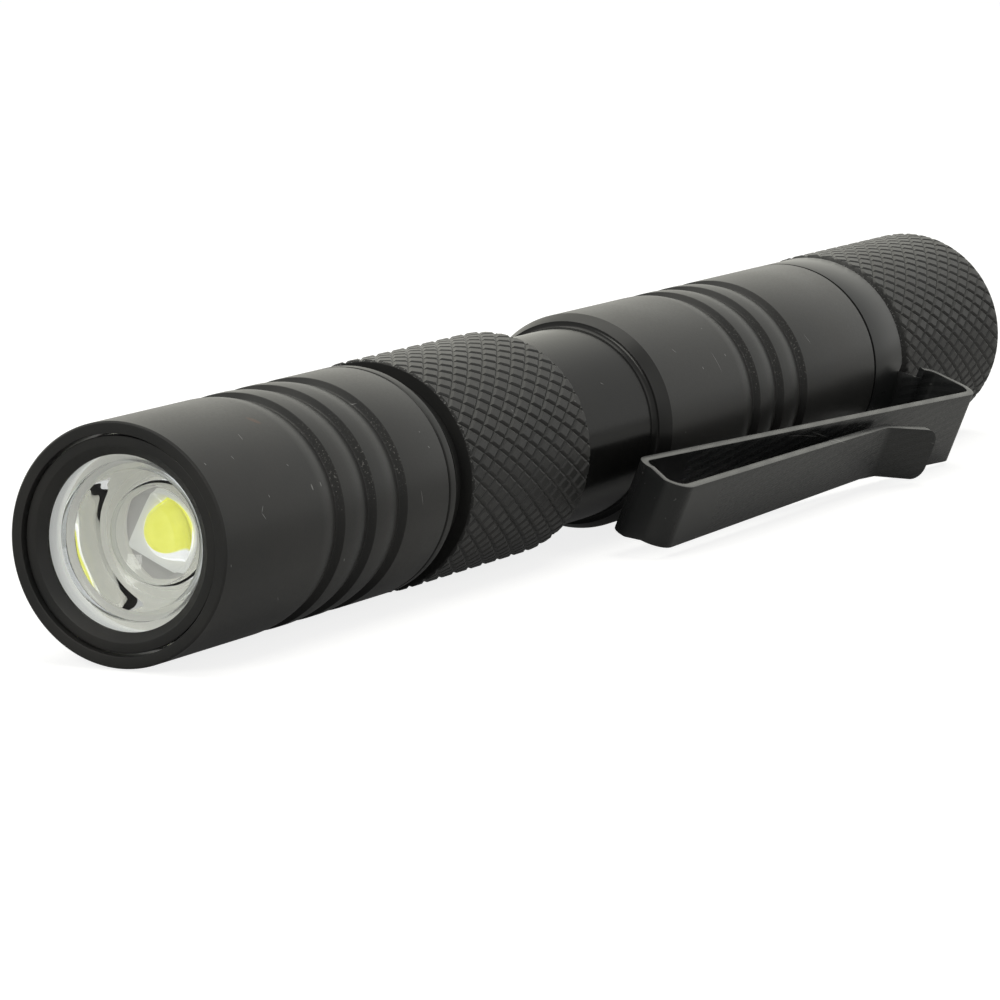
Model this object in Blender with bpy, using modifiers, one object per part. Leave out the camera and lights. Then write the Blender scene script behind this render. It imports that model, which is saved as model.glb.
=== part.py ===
"""A pocket flashlight for two AAA cells, lying on its side with its two-way clip against the floor.

Lengths are in metres. A station is a distance behind the front rim, along the light's own axis.
The light's axis is the local Z of an empty that lies along world +X, so the head points to -X.
Local +X points straight down, which is where each turned piece starts.
"""

import math

import bmesh
import bpy
from mathutils import Vector

# Clearances
seat_gap = 0.0003  # between two faces that rest on each other
slip_gap = 0.00015  # round a piece that turns or screws inside another

# The cells, which set the bore of the tube and its length
cell_radius = 0.00525
cell_length = 0.0445
cell_edge = 0.0004
cell_button_radius = 0.0019
cell_button_height = 0.0009
cell_clearance = 0.00015

# Walls outwards from the cells
nose_wall = 0.0011
head_wall = 0.0011
neck_inset = 0.0009
bore_radius = cell_radius + cell_clearance
nose_radius = bore_radius + nose_wall
thread_radius = nose_radius + slip_gap
body_radius = thread_radius + head_wall
neck_radius = body_radius - neck_inset

# The knurl: diamonds with a thirty degree lead
knurl_starts = 40
knurl_lead = math.radians(30)
knurl_rise = 0.00012
knurl_depth = 0.00024
knurl_tip = body_radius + knurl_rise
knurl_root = knurl_tip - knurl_depth
knurl_pitch = 2 * math.pi * knurl_tip / knurl_starts / math.tan(knurl_lead)

# The finger scoops, three in a row on the head and three on the barrel
scoop_count = 3
scoop_pitch = 0.0042
scoop_ramp = 0.0026
scoop_wall = 0.0004
scoop_depth = 0.00045

# The front end
rim_chamfer = 0.00012
rim_width = 0.00078
bezel_inset = 0.00035
bezel_length = 0.0007
bezel_bevel_width = 0.0006
bezel_bevel_depth = 0.0005
aperture_radius = 0.00558
bezel_bore = body_radius - rim_width

# The lens and the lamp
optic_flange = 0.0009
optic_seat = 0.0007
optic_height = 0.0069
optic_foot_radius = 0.00375
optic_shoulder_radius = 0.0053
cavity_radius = 0.00315
cavity_depth = 0.0024
cavity_lens_radius = 0.003
cavity_lens_rise = 0.0006
holder_base = 0.0004
gasket_height = 0.0007
led_side = 0.004
led_turn = math.radians(25)
led_height = 0.0007
led_glow_radius = 0.00135
led_glow_height = 0.0008
board_thickness = 0.0008
pill_face = 0.0014
pill_floor = 0.0022
pill_depth = 0.00645
pill_wall = 0.0009
post_radius = 0.0014
post_height = 0.0022
post_collar_radius = 0.0024
post_collar_height = 0.0009
coil_radius = 0.0017
coil_height = 0.0016
chip_side = 0.0022
chip_height = 0.0009

# The head
head_length = 0.0305
head_scoop_start = 0.0121
head_line_station = 0.0294
head_line_width = 0.0003
head_line_depth = 0.0002
head_rear_chamfer = 0.00025
seal_land = 0.0021

# The tube
tube_chamfer = 0.0004
front_knurl_length = 0.0175
neck_length = 0.0121
barrel_chamfer_length = 0.0012
barrel_chamfer_height = 0.00045
barrel_scoop_start = 0.0132
oring_wire = 0.00055
seal_wall = 0.0004  # what the grooves leave of the tube under the two seals
tail_oring_station = 0.0015

# The clip
clip_sheet = 0.00055
clip_ring_width = 0.0050
clip_opening = math.radians(54)
clip_tab_set_back = 0.0005
clip_below_level = math.radians(22)
hook_overhang = 0.0014
hook_bend = 0.0012
hook_height = 0.00535
front_bend_height = 0.0016
front_bend_small = 0.0008
front_bend_large = 0.0014
clip_reach = 0.0512
outer_leaf_height = 0.0054
kink_back = 0.0145
kink_bend = 0.003
tip_length = 0.0043
tip_rise = 0.0021
tip_corner = 0.0012
root_width = 0.0046
hook_width = 0.0061
front_width = 0.0057
outer_width = 0.0051
kink_width = 0.0046
tip_width = 0.0043

# The tail
tail_length = 0.0202
tail_front_chamfer = 0.0006
tail_round = 0.0014
tail_board_depth = 0.0099
tail_wall = 0.0039
button_radius = 0.0043
button_gap = 0.0003
button_recess = 0.0006
button_crown = 0.0007
button_skin = 0.0009
button_travel = 0.0013
boot_flange_height = 0.0008
boot_flange_radius = 0.0062
plunger_radius = 0.0014
plunger_play = 0.0002
switch_side = 0.0082
switch_height = 0.0024
lock_ring_height = 0.0018
lock_ring_width = 0.0009
spring_length = 0.0035
spring_wire = 0.00025
spring_turns = 3.25
spring_wide = 0.0037
spring_narrow = 0.0025

# How finely the round pieces are turned
outer_steps = 32
inner_steps = 24
small_steps = 16
arc_steps = 4
cord_steps = 8
clip_tab_columns = 4
clip_side_columns = 15
spring_points_per_turn = 10
crease_angle = math.radians(32)

# Stations down the inside of the head, each seated on the one before
bezel_back = bezel_inset + bezel_length
optic_front = bezel_back + seat_gap
flange_back = optic_front + optic_flange
gasket_front = flange_back + seat_gap
optic_shoulder = gasket_front + gasket_height + seat_gap
optic_back = optic_front + optic_height
holder_floor = optic_back + seat_gap
holder_back = holder_floor + holder_base
led_board_front = holder_back + seat_gap
pill_front = led_board_front + board_thickness + seat_gap
pill_shoulder = pill_front + pill_face
pill_cup = pill_front + pill_floor
pill_back = pill_cup + pill_depth
driver_front = pill_back - board_thickness - seat_gap
driver_back = driver_front + board_thickness
collar_back = driver_back + seat_gap + post_collar_height
post_back = driver_back + seat_gap + post_height

# Stations down the tube, from the cell stack
front_cell_front = post_back + seat_gap
rear_cell_front = front_cell_front + cell_length + seat_gap
spring_front = rear_cell_front + cell_length + seat_gap
switch_board_front = spring_front + spring_length + seat_gap
tail_start = switch_board_front - tail_board_depth
tube_front = front_cell_front - seat_gap
knurl_start = head_length + seal_land
neck_start = knurl_start + front_knurl_length
barrel_start = neck_start + neck_length
clip_ring_back = tail_start - seat_gap
clip_ring_front = clip_ring_back - clip_ring_width
groove_front = clip_ring_front - seat_gap
length = tail_start + tail_length

# Radii inside the head
bezel_radius = bezel_bore - slip_gap
optic_radius = bezel_bore - slip_gap
optic_pocket = optic_radius - optic_seat
holder_radius = optic_pocket - slip_gap
pill_neck_radius = optic_pocket - slip_gap
pill_radius = nose_radius
board_radius = pill_neck_radius - slip_gap
driver_radius = pill_radius - pill_wall - slip_gap

# Stations and radii inside the tail
lock_ring_back = switch_board_front - seat_gap
lock_ring_front = lock_ring_back - lock_ring_height
tube_back = lock_ring_front - seat_gap
switch_board_back = switch_board_front + board_thickness
board_shoulder = switch_board_back + seat_gap
switch_front = switch_board_back + seat_gap
switch_back = switch_front + switch_height
wall_front = length - tail_wall
flange_rear = wall_front - seat_gap
flange_front = flange_rear - boot_flange_height
button_back = length - button_recess
opening_radius = button_radius + button_gap
flange_bore = boot_flange_radius + slip_gap
plunger_back = button_back - button_skin - seat_gap
plunger_front = flange_front - seat_gap - button_travel
plunger_floor = plunger_front - button_travel - seat_gap

# The seals' grooves. The tail's seal fills what the cap's thread leaves it
seal_floor = bore_radius + seal_wall
tail_oring_wire = (thread_radius - seal_floor) / 2 - slip_gap

# The clip's ring lies in its groove with its outside level with the body
clip_ring_middle = body_radius - clip_sheet / 2
groove_radius = body_radius - clip_sheet - slip_gap

# Where the light lies: the knurl and the clip's lower edges touch the floor
clip_side = math.cos(clip_below_level)
clip_drop = math.sin(clip_below_level)
floor_height = knurl_tip


def clean_scene():
    for item in list(bpy.data.objects):
        bpy.data.objects.remove(item, do_unlink=True)


def new_collection(name, hidden):
    collection = bpy.data.collections.new(name)
    bpy.context.scene.collection.children.link(collection)
    collection.hide_render = hidden
    return collection


def finish_material(name, colour, roughness, metallic):
    material = bpy.data.materials.new(name)
    material.use_nodes = True
    shader = material.node_tree.nodes["Principled BSDF"]
    shader.inputs["Base Color"].default_value = (*colour, 1)
    shader.inputs["Roughness"].default_value = roughness
    shader.inputs["Metallic"].default_value = metallic
    return material


def place(name, mesh, collection, axis):
    item = bpy.data.objects.new(name, mesh)
    collection.objects.link(item)
    item.parent = axis
    return item


def turn(item, steps):
    """Sweeps the object's profile all round the light's axis."""
    screw = item.modifiers.new("turn", "SCREW")
    screw.axis = "Z"
    screw.angle = 2 * math.pi
    screw.steps = steps
    screw.render_steps = steps
    screw.use_merge_vertices = True
    screw.merge_threshold = 0.000001
    return item


def turned(name, outline, collection, axis, steps):
    """A turned piece. Its outline holds (station, radius) pairs, front to tail along the outside
    and back along the inside, and it closes on itself unless both its ends lie on the axis."""
    points = [(radius, 0, station) for station, radius in reversed(outline)]
    edges = [(i, i + 1) for i in range(len(points) - 1)]
    if outline[0][1] > 0 or outline[-1][1] > 0:
        edges.append((len(points) - 1, 0))
    mesh = bpy.data.meshes.new(name)
    mesh.from_pydata(points, edges, [])
    return turn(place(name, mesh, collection, axis), steps)


def boolean(item, other, operation):
    cut = item.modifiers.new(operation.lower(), "BOOLEAN")
    cut.operation = operation
    cut.object = other
    cut.solver = "EXACT"


def bake(item):
    """Turns the object's modifiers into plain mesh, smooth with its creases kept sharp."""
    graph = bpy.context.evaluated_depsgraph_get()
    mesh = bpy.data.meshes.new_from_object(item.evaluated_get(graph))
    item.modifiers.clear()
    item.data = mesh
    mesh.shade_smooth()
    mesh.set_sharp_from_angle(angle=crease_angle)


def scoops(first):
    """Three scoops: each deepens along an even curve and ends at a steep wall."""
    outline = []
    for number in range(scoop_count):
        start = first + number * scoop_pitch
        for step in range(arc_steps + 1):
            along = step / arc_steps
            outline.append((start + scoop_ramp * along, body_radius - scoop_depth * along**2))
        outline.append((start + scoop_ramp + scoop_wall, body_radius))
    return outline


def knurled_sleeve(name, start, end, inner, collection, axis):
    """A sleeve whose outside is a lattice of diamonds, each one raised to a point."""
    rows = 2 * round((end - start) / knurl_pitch)
    spacing = (end - start) / rows
    steps = 2 * knurl_starts
    outline = [(start, inner)]
    outline += [(start + spacing * row, knurl_root) for row in range(rows + 1)]
    outline.append((end, inner))
    sleeve = turned(name, outline, collection, axis, steps)
    bake(sleeve)
    shape = bmesh.new()
    shape.from_mesh(sleeve.data)
    for vertex in shape.verts:
        radius = math.hypot(vertex.co.x, vertex.co.y)
        row = round((vertex.co.z - start) / spacing)
        column = round(math.atan2(vertex.co.y, vertex.co.x) / (2 * math.pi) * steps)
        inside = radius > (inner + knurl_root) / 2 and 0 < row < rows
        if inside and (row + column) % 2 == 0:
            vertex.co.x *= knurl_tip / radius
            vertex.co.y *= knurl_tip / radius
    bmesh.ops.triangulate(shape, faces=shape.faces[:], quad_method="SHORT_EDGE")
    shape.to_mesh(sleeve.data)
    shape.free()
    sleeve.display_type = "WIRE"
    sleeve.hide_render = True
    return sleeve


def disc(front, back, radius):
    """The outline of a plain disc or rod."""
    return [(front, 0), (front, radius), (back, radius), (back, 0)]


def band(front, back, inner, outer):
    """The outline of a plain ring."""
    return [(front, inner), (front, outer), (back, outer), (back, inner)]


def quarter_turns():
    """Even steps from nothing to a quarter turn."""
    return [math.pi / 2 * step / arc_steps for step in range(arc_steps + 1)]


def ring_seal(name, station, radius, wire, collection, axis):
    """A round cord closed into a ring."""
    outline = []
    for step in range(cord_steps):
        angle = 2 * math.pi * step / cord_steps
        outline.append((station - wire * math.cos(angle), radius + wire * math.sin(angle)))
    return turned(name, outline, collection, axis, outer_steps)


def block(name, size, centre, collection, axis):
    shape = bmesh.new()
    bmesh.ops.create_cube(shape, size=1)
    for vertex in shape.verts:
        vertex.co = Vector(centre) + Vector([c * s for c, s in zip(vertex.co, size)])
    mesh = bpy.data.meshes.new(name)
    shape.to_mesh(mesh)
    shape.free()
    return place(name, mesh, collection, axis)


def head_pieces(parts, axis):
    rim = body_radius - rim_chamfer
    housing = [(0, bezel_bore), (0, rim), (rim_chamfer, body_radius)]
    housing += scoops(head_scoop_start)
    housing += [
        (head_line_station - head_line_width / 2, body_radius),
        (head_line_station, body_radius - head_line_depth),
        (head_line_station + head_line_width / 2, body_radius),
        (head_length - head_rear_chamfer, body_radius),
        (head_length, body_radius - head_rear_chamfer),
        (head_length, thread_radius),
        (pill_shoulder, thread_radius),
        (pill_shoulder, optic_pocket),
        (optic_shoulder, optic_pocket),
        (optic_shoulder, bezel_bore),
    ]
    turned("head_housing", housing, parts, axis, outer_steps)

    lip_front = bezel_inset + bezel_bevel_depth
    bezel = [
        (bezel_inset, aperture_radius + bezel_bevel_width),
        (bezel_inset, bezel_radius),
        (bezel_back, bezel_radius),
        (bezel_back, aperture_radius),
        (lip_front, aperture_radius),
    ]
    turned("retaining_ring", bezel, parts, axis, outer_steps)

    gasket = band(gasket_front, gasket_front + gasket_height, optic_pocket, optic_radius)
    turned("optic_gasket", gasket, parts, axis, outer_steps)


def cavity_lens():
    """The small lens over the lamp, from its edge in to the axis, bulging towards the lamp."""
    floor = optic_back - cavity_depth
    points = []
    for step in range(arc_steps, -1, -1):
        across = step / arc_steps
        points.append((floor + cavity_lens_rise * (1 - across**2), cavity_lens_radius * across))
    return points


def flare_radius(station):
    """The lens body's radius, largest at the flange and least at the foot."""
    to_foot = (optic_back - station) / (optic_back - flange_back)
    return math.sqrt(
        optic_foot_radius**2 + (optic_shoulder_radius**2 - optic_foot_radius**2) * to_foot
    )


def optic_pieces(parts, axis):
    """The collimating lens, with a flat face and a cavity over the lamp, and its white holder."""
    flare = [
        flange_back + (optic_back - flange_back) * step / arc_steps for step in range(arc_steps + 1)
    ]
    outline = [(optic_front, 0), (optic_front, optic_radius), (flange_back, optic_radius)]
    outline += [(station, flare_radius(station)) for station in flare]
    outline += [(optic_back, cavity_radius), (optic_back - cavity_depth, cavity_radius)]
    outline += cavity_lens()
    turned("optic", outline, parts, axis, inner_steps)

    hole = led_side / math.sqrt(2) + slip_gap
    holder = [
        (optic_shoulder, holder_radius),
        (holder_back, holder_radius),
        (holder_back, hole),
        (holder_floor, hole),
        (holder_floor, optic_foot_radius + seat_gap),
    ]
    around = [optic_shoulder] + [station for station in flare if station > optic_shoulder]
    holder += [(station, flare_radius(station) + seat_gap) for station in reversed(around)]
    turned("optic_holder", holder, parts, axis, inner_steps)


def lamp_pieces(parts, axis):
    led_front = led_board_front - seat_gap - led_height
    package = block(
        "led_package",
        (led_side, led_side, led_height),
        (0, 0, led_front + led_height / 2),
        parts,
        axis,
    )
    package.rotation_euler.z = led_turn
    glow_back = led_front - seat_gap
    glow = [(glow_back - led_glow_height, 0)]
    for angle in quarter_turns()[1:]:
        height = led_glow_height * math.cos(angle)
        glow.append((glow_back - height, led_glow_radius * math.sin(angle)))
    glow.append((glow_back, 0))
    turned("led_dome", glow, parts, axis, small_steps)

    board = disc(led_board_front, led_board_front + board_thickness, board_radius)
    turned("led_board", board, parts, axis, inner_steps)


def driver_pieces(parts, axis):
    cup = pill_radius - pill_wall
    pill = [
        (pill_front, 0),
        (pill_front, pill_neck_radius),
        (pill_shoulder + seat_gap, pill_neck_radius),
        (pill_shoulder + seat_gap, pill_radius),
        (pill_back, pill_radius),
        (pill_back, cup),
        (pill_cup, cup),
        (pill_cup, 0),
    ]
    turned("led_pill", pill, parts, axis, inner_steps)

    board = disc(driver_front, driver_back, driver_radius)
    turned("driver_board", board, parts, axis, inner_steps)

    coil_back = driver_front - seat_gap
    coil_outline = disc(coil_back - coil_height, coil_back, coil_radius)
    coil = turned("driver_inductor", coil_outline, parts, axis, small_steps)
    coil.location.x = driver_radius - coil_radius - 2 * seat_gap
    block(
        "driver_chip",
        (chip_side, chip_side, chip_height),
        (-driver_radius / 2, 0, coil_back - chip_height / 2),
        parts,
        axis,
    )

    post_front = driver_back + seat_gap
    collar = band(post_front, collar_back, post_radius + slip_gap, post_collar_radius)
    turned("contact_collar", collar, parts, axis, small_steps)
    post = [
        (post_front, 0),
        (post_front, post_radius),
        (post_back - cell_edge, post_radius),
        (post_back, post_radius - cell_edge),
        (post_back, 0),
    ]
    turned("contact_post", post, parts, axis, small_steps)


def tube_piece(parts, helpers, axis):
    """The battery tube, with its knurled grip joined on."""
    seal_radius = seal_floor + slip_gap + oring_wire
    seal_station = head_length + seat_gap + oring_wire
    seal_front = seal_station - oring_wire - slip_gap
    seal_back = seal_station + oring_wire + slip_gap
    tail_seal = tail_start + tail_oring_station
    tail_seal_radius = seal_floor + slip_gap + tail_oring_wire
    grip_core = (neck_radius + knurl_root) / 2
    outline = [
        (tube_front, bore_radius),
        (tube_front, nose_radius - tube_chamfer),
        (tube_front + tube_chamfer, nose_radius),
        (seal_front, nose_radius),
        (seal_front, seal_floor),
        (seal_back, seal_floor),
        (seal_back, neck_radius),
        (knurl_start + seat_gap, neck_radius),
        (knurl_start + seat_gap, grip_core),
        (neck_start - seat_gap, grip_core),
        (neck_start - seat_gap, neck_radius),
        (barrel_start, neck_radius),
        (barrel_start, body_radius - barrel_chamfer_height),
        (barrel_start + barrel_chamfer_length, body_radius),
    ]
    outline += scoops(barrel_start + barrel_scoop_start)
    outline += [
        (groove_front, body_radius),
        (groove_front, groove_radius),
        (tail_start - seat_gap, groove_radius),
        (tail_start - seat_gap, nose_radius),
        (tail_seal - tail_oring_wire - slip_gap, nose_radius),
        (tail_seal - tail_oring_wire - slip_gap, seal_floor),
        (tail_seal + tail_oring_wire + slip_gap, seal_floor),
        (tail_seal + tail_oring_wire + slip_gap, nose_radius),
        (tube_back - tube_chamfer, nose_radius),
        (tube_back, nose_radius - tube_chamfer),
        (tube_back, bore_radius),
    ]
    tube = turned("battery_tube", outline, parts, axis, outer_steps)
    sleeve_bore = (bore_radius + neck_radius) / 2
    grip = knurled_sleeve("front_knurl", knurl_start, neck_start, sleeve_bore, helpers, axis)
    boolean(tube, grip, "UNION")
    ring_seal("head_oring", seal_station, seal_radius, oring_wire, parts, axis)
    ring_seal("tail_oring", tail_seal, tail_seal_radius, tail_oring_wire, parts, axis)


def cell_piece(name, front, parts, axis):
    can = front + cell_button_height
    back = front + cell_length
    outline = [
        (front, 0),
        (front, cell_button_radius),
        (can, cell_button_radius),
        (can, cell_radius - cell_edge),
        (can + cell_edge, cell_radius),
        (back - cell_edge, cell_radius),
        (back, cell_radius - cell_edge),
        (back, 0),
    ]
    turned(name, outline, parts, axis, inner_steps)


def rounded_path(corners):
    """The bent line through corners of (station, height, width, bend radius)."""
    path = [corners[0][:3]]
    for before, corner, after in zip(corners, corners[1:], corners[2:]):
        here = Vector(corner[:2])
        to_before = (Vector(before[:2]) - here).normalized()
        to_after = (Vector(after[:2]) - here).normalized()
        half_angle = to_before.angle(to_after) / 2
        bend = corner[3]
        centre = here + (to_before + to_after).normalized() * bend / math.sin(half_angle)
        first = here + to_before * bend / math.tan(half_angle) - centre
        last = here + to_after * bend / math.tan(half_angle) - centre
        steps = arc_steps if math.degrees(half_angle) < 70 else 2
        for step in range(steps + 1):
            spoke = first.slerp(last, step / steps).normalized() * bend
            path.append((*(centre + spoke), corner[2]))
    path.append(corners[-1][:3])
    return path


def clip_path():
    """The strip's middle line: off the ring, over the knurl, round the hook, forward along the
    inner leaf, round the front bend and back along the outer leaf to its flared tip."""
    rise = knurl_tip + seat_gap + clip_sheet / 2 + slip_gap - clip_ring_middle
    root = clip_ring_back - clip_tab_set_back
    hook = tail_start + hook_overhang
    front = hook - clip_reach - hook_overhang
    hook_level = body_radius + hook_height
    front_level = body_radius + front_bend_height
    kink = hook - kink_back
    slope = (hook_level - front_level) / (hook - front)
    kink_level = front_level + slope * (kink - front) + clip_sheet + seat_gap
    corners = [
        (root, clip_ring_middle, root_width, 0),
        (root + rise, clip_ring_middle + rise, root_width, front_bend_small),
        (hook, clip_ring_middle + rise + seat_gap, hook_width, hook_bend),
        (hook, hook_level, hook_width, hook_bend),
        (front, front_level, front_width, front_bend_small),
        (front, body_radius + outer_leaf_height, outer_width, front_bend_large),
        (kink, kink_level, kink_width, kink_bend),
        (kink + tip_length, kink_level + tip_rise, tip_width, 0),
    ]
    return rounded_path(corners)


def tip_rows(path):
    """The last stretch of the strip, drawn in along two round corners."""
    station, height, width = path.pop()
    before = Vector(path[-1][:2])
    end = Vector((station, height))
    along = (end - before).normalized()
    rows = []
    for angle in quarter_turns():
        back = tip_corner * (1 - math.sin(angle))
        narrow = tip_corner * (1 - math.cos(angle))
        rows.append((*(end - along * back), width - 2 * narrow))
    return path + rows


def clip_piece(parts, axis):
    """The two-way clip: one strip of sheet, with a sprung ring and a doubled leaf."""
    strip = tip_rows(clip_path())
    tab_angle = math.asin(root_width / 2 / clip_ring_middle)
    side_end = math.pi - clip_opening / 2
    side_step = (side_end - tab_angle) / clip_side_columns
    angles = [-side_end + side_step * i for i in range(clip_side_columns)]
    across_tab = [i / clip_tab_columns for i in range(clip_tab_columns + 1)]
    angles += [tab_angle * (2 * across - 1) for across in across_tab]
    angles += [tab_angle + side_step * (i + 1) for i in range(clip_side_columns)]
    shape = bmesh.new()
    front_row = []
    back_row = []
    for angle in angles:
        x = clip_ring_middle * math.cos(angle)
        y = clip_ring_middle * math.sin(angle)
        on_tab = abs(angle) < tab_angle + side_step / 2
        back = clip_ring_back - clip_tab_set_back if on_tab else clip_ring_back
        front_row.append(shape.verts.new((x, y, clip_ring_front)))
        back_row.append(shape.verts.new((x, y, back)))
    for i in range(len(angles) - 1):
        shape.faces.new((front_row[i], front_row[i + 1], back_row[i + 1], back_row[i]))
    row = back_row[clip_side_columns : clip_side_columns + clip_tab_columns + 1]
    sag = clip_ring_middle * (1 - math.cos(tab_angle))
    for number, (station, height, width) in enumerate(strip[1:]):
        flatten = max(0, 1 - (number + 1) / arc_steps)
        new_row = []
        for across in across_tab:
            side = 2 * across - 1
            x = height - sag * flatten * side**2
            new_row.append(shape.verts.new((x, side * width / 2, station)))
        for i in range(clip_tab_columns):
            shape.faces.new((row[i], row[i + 1], new_row[i + 1], new_row[i]))
        row = new_row
    bmesh.ops.recalc_face_normals(shape, faces=shape.faces[:])
    mesh = bpy.data.meshes.new("pocket_clip")
    shape.to_mesh(mesh)
    shape.free()
    clip = place("pocket_clip", mesh, parts, axis)
    clip.rotation_euler.z = clip_below_level - math.pi / 2
    sheet = clip.modifiers.new("sheet", "SOLIDIFY")
    sheet.thickness = clip_sheet
    sheet.offset = 0
    sheet.use_even_offset = True
    return clip


def tail_pieces(parts, helpers, axis):
    grip_start = tail_start + tail_front_chamfer
    grip_end = length - tail_round
    grip_core = (thread_radius + knurl_root) / 2 + slip_gap / 2
    outline = [
        (tail_start, thread_radius),
        (tail_start, knurl_root - tail_front_chamfer),
        (grip_start + seat_gap, grip_core),
        (grip_end - seat_gap, grip_core),
    ]
    face_radius = knurl_root - tail_round
    for angle in quarter_turns():
        station = length - tail_round * (1 - math.sin(angle))
        outline.append((station, face_radius + tail_round * math.cos(angle)))
    outline += [
        (length, opening_radius),
        (wall_front, opening_radius),
        (wall_front, flange_bore),
        (board_shoulder, flange_bore),
        (board_shoulder, thread_radius),
    ]
    cap = turned("tail_cap", outline, parts, axis, outer_steps)
    sleeve_bore = (thread_radius + grip_core) / 2
    grip = knurled_sleeve("tail_knurl", grip_start, grip_end, sleeve_bore, helpers, axis)
    boolean(cap, grip, "UNION")


def switch_pieces(parts, helpers, axis):
    ring_bore = nose_radius - lock_ring_width
    ring = band(lock_ring_front, lock_ring_back, ring_bore, nose_radius)
    turned("switch_lock_ring", ring, parts, axis, outer_steps)
    board = disc(switch_board_front, switch_board_back, nose_radius)
    turned("switch_board", board, parts, axis, inner_steps)

    housing = block(
        "switch_housing",
        (switch_side, switch_side, switch_height),
        (0, 0, switch_front + switch_height / 2),
        parts,
        axis,
    )
    hole_outline = disc(plunger_floor, switch_back + switch_height, plunger_radius + plunger_play)
    hole = turned("plunger_hole", hole_outline, helpers, axis, small_steps)
    hole.display_type = "WIRE"
    hole.hide_render = True
    boolean(housing, hole, "DIFFERENCE")

    plunger = disc(plunger_front, plunger_back, plunger_radius)
    turned("switch_plunger", plunger, parts, axis, small_steps)

    skirt = button_radius - button_skin
    under = button_back - button_skin
    boot = [
        (under, 0),
        (under, skirt),
        (flange_front, skirt),
        (flange_front, boot_flange_radius),
        (flange_rear, boot_flange_radius),
        (flange_rear, button_radius),
    ]
    for angle in quarter_turns():
        station = button_back - button_crown * (1 - math.sin(angle))
        boot.append((station, button_radius - button_crown * (1 - math.cos(angle))))
    boot.append((button_back, 0))
    turned("switch_boot", boot, parts, axis, inner_steps)


def spring_piece(parts, axis):
    """The coil between the switch board and the rear cell, as one unbroken wire."""
    count = round(spring_turns * spring_points_per_turn)
    climb = spring_length - 2 * spring_wire
    points = []
    for step in range(count + 1):
        along = step / count
        angle = 2 * math.pi * spring_turns * along
        radius = spring_narrow + (spring_wide - spring_narrow) * along
        station = spring_front + spring_wire + climb * along
        points.append(Vector((radius * math.cos(angle), radius * math.sin(angle), station)))
    least = min(
        (points[j] - points[i]).length
        for i in range(count + 1)
        for j in range(i + spring_points_per_turn // 2, count + 1)
    )
    print(f"Least gap between the turns of the spring: {(least - 2 * spring_wire) * 1000:.2f} mm")
    curve = bpy.data.curves.new("tail_spring", "CURVE")
    curve.dimensions = "3D"
    curve.bevel_depth = spring_wire
    curve.bevel_resolution = 1
    curve.use_fill_caps = True
    line = curve.splines.new("POLY")
    line.points.add(count)
    for point, place_at in zip(line.points, points):
        point.co = (*place_at, 1)
    return place("tail_spring", curve, parts, axis)


def finish_pieces(parts):
    """Gives each piece its own finish."""
    black = (0.035, 0.035, 0.036)
    metal = {"head_housing", "retaining_ring", "battery_tube", "tail_cap"}
    brass = {"led_pill", "contact_post", "switch_lock_ring"}
    board = {"led_board": (0.75, 0.76, 0.76), "driver_board": (0.02, 0.12, 0.05)}
    finishes = {name: (black, 0.38, 0.6) for name in metal}
    finishes.update({name: ((0.72, 0.52, 0.24), 0.3, 1.0) for name in brass})
    finishes.update({name: (colour, 0.5, 0.0) for name, colour in board.items()})
    finishes.update(
        {
            "switch_board": ((0.02, 0.12, 0.05), 0.5, 0.0),
            "optic": ((0.95, 0.96, 0.97), 0.03, 0.0),
            "optic_gasket": ((0.02, 0.02, 0.02), 0.6, 0.0),
            "optic_holder": ((0.9, 0.9, 0.88), 0.5, 0.0),
            "led_package": ((0.85, 0.85, 0.82), 0.45, 0.0),
            "led_dome": ((0.85, 0.75, 0.18), 0.2, 0.0),
            "driver_inductor": ((0.08, 0.08, 0.08), 0.6, 0.0),
            "driver_chip": ((0.03, 0.03, 0.03), 0.5, 0.0),
            "contact_collar": ((0.04, 0.04, 0.04), 0.5, 0.0),
            "head_oring": ((0.01, 0.01, 0.01), 0.2, 0.0),
            "tail_oring": ((0.01, 0.01, 0.01), 0.3, 0.0),
            "front_cell": ((0.45, 0.46, 0.48), 0.35, 0.5),
            "rear_cell": ((0.45, 0.46, 0.48), 0.35, 0.5),
            "pocket_clip": ((0.05, 0.05, 0.055), 0.33, 0.8),
            "switch_housing": ((0.04, 0.04, 0.04), 0.5, 0.0),
            "switch_plunger": ((0.8, 0.8, 0.78), 0.4, 0.0),
            "switch_boot": ((0.02, 0.02, 0.02), 0.65, 0.0),
            "tail_spring": ((0.7, 0.68, 0.62), 0.25, 1.0),
        }
    )
    for item in parts.objects:
        if item.type == "EMPTY":
            continue
        item.data.materials.append(finish_material(item.name, *finishes[item.name]))


def main():
    clean_scene()
    parts = new_collection("flashlight", False)
    helpers = new_collection("cutters", True)
    axis = bpy.data.objects.new("light_axis", None)
    parts.objects.link(axis)
    strip_end = clip_path()[-1]
    reach = (strip_end[1] + clip_sheet / 2) * clip_side + strip_end[2] / 2 * clip_drop
    axis.location = (-length / 2, (reach - knurl_tip) / 2, floor_height)
    axis.rotation_euler = (0, math.pi / 2, 0)

    head_pieces(parts, axis)
    optic_pieces(parts, axis)
    lamp_pieces(parts, axis)
    driver_pieces(parts, axis)
    tube_piece(parts, helpers, axis)
    cell_piece("front_cell", front_cell_front, parts, axis)
    cell_piece("rear_cell", rear_cell_front, parts, axis)
    clip_piece(parts, axis)
    tail_pieces(parts, helpers, axis)
    switch_pieces(parts, helpers, axis)
    spring_piece(parts, axis)
    finish_pieces(parts)
    bpy.context.view_layer.update()
    for item in parts.objects:
        if item.type == "MESH" and item.modifiers:
            bake(item)
    print(f"Length {length * 1000:.2f} mm, body radius {body_radius * 1000:.2f} mm")
    print(f"Axis at {[round(value * 1000, 3) for value in axis.location]} mm")


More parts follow.
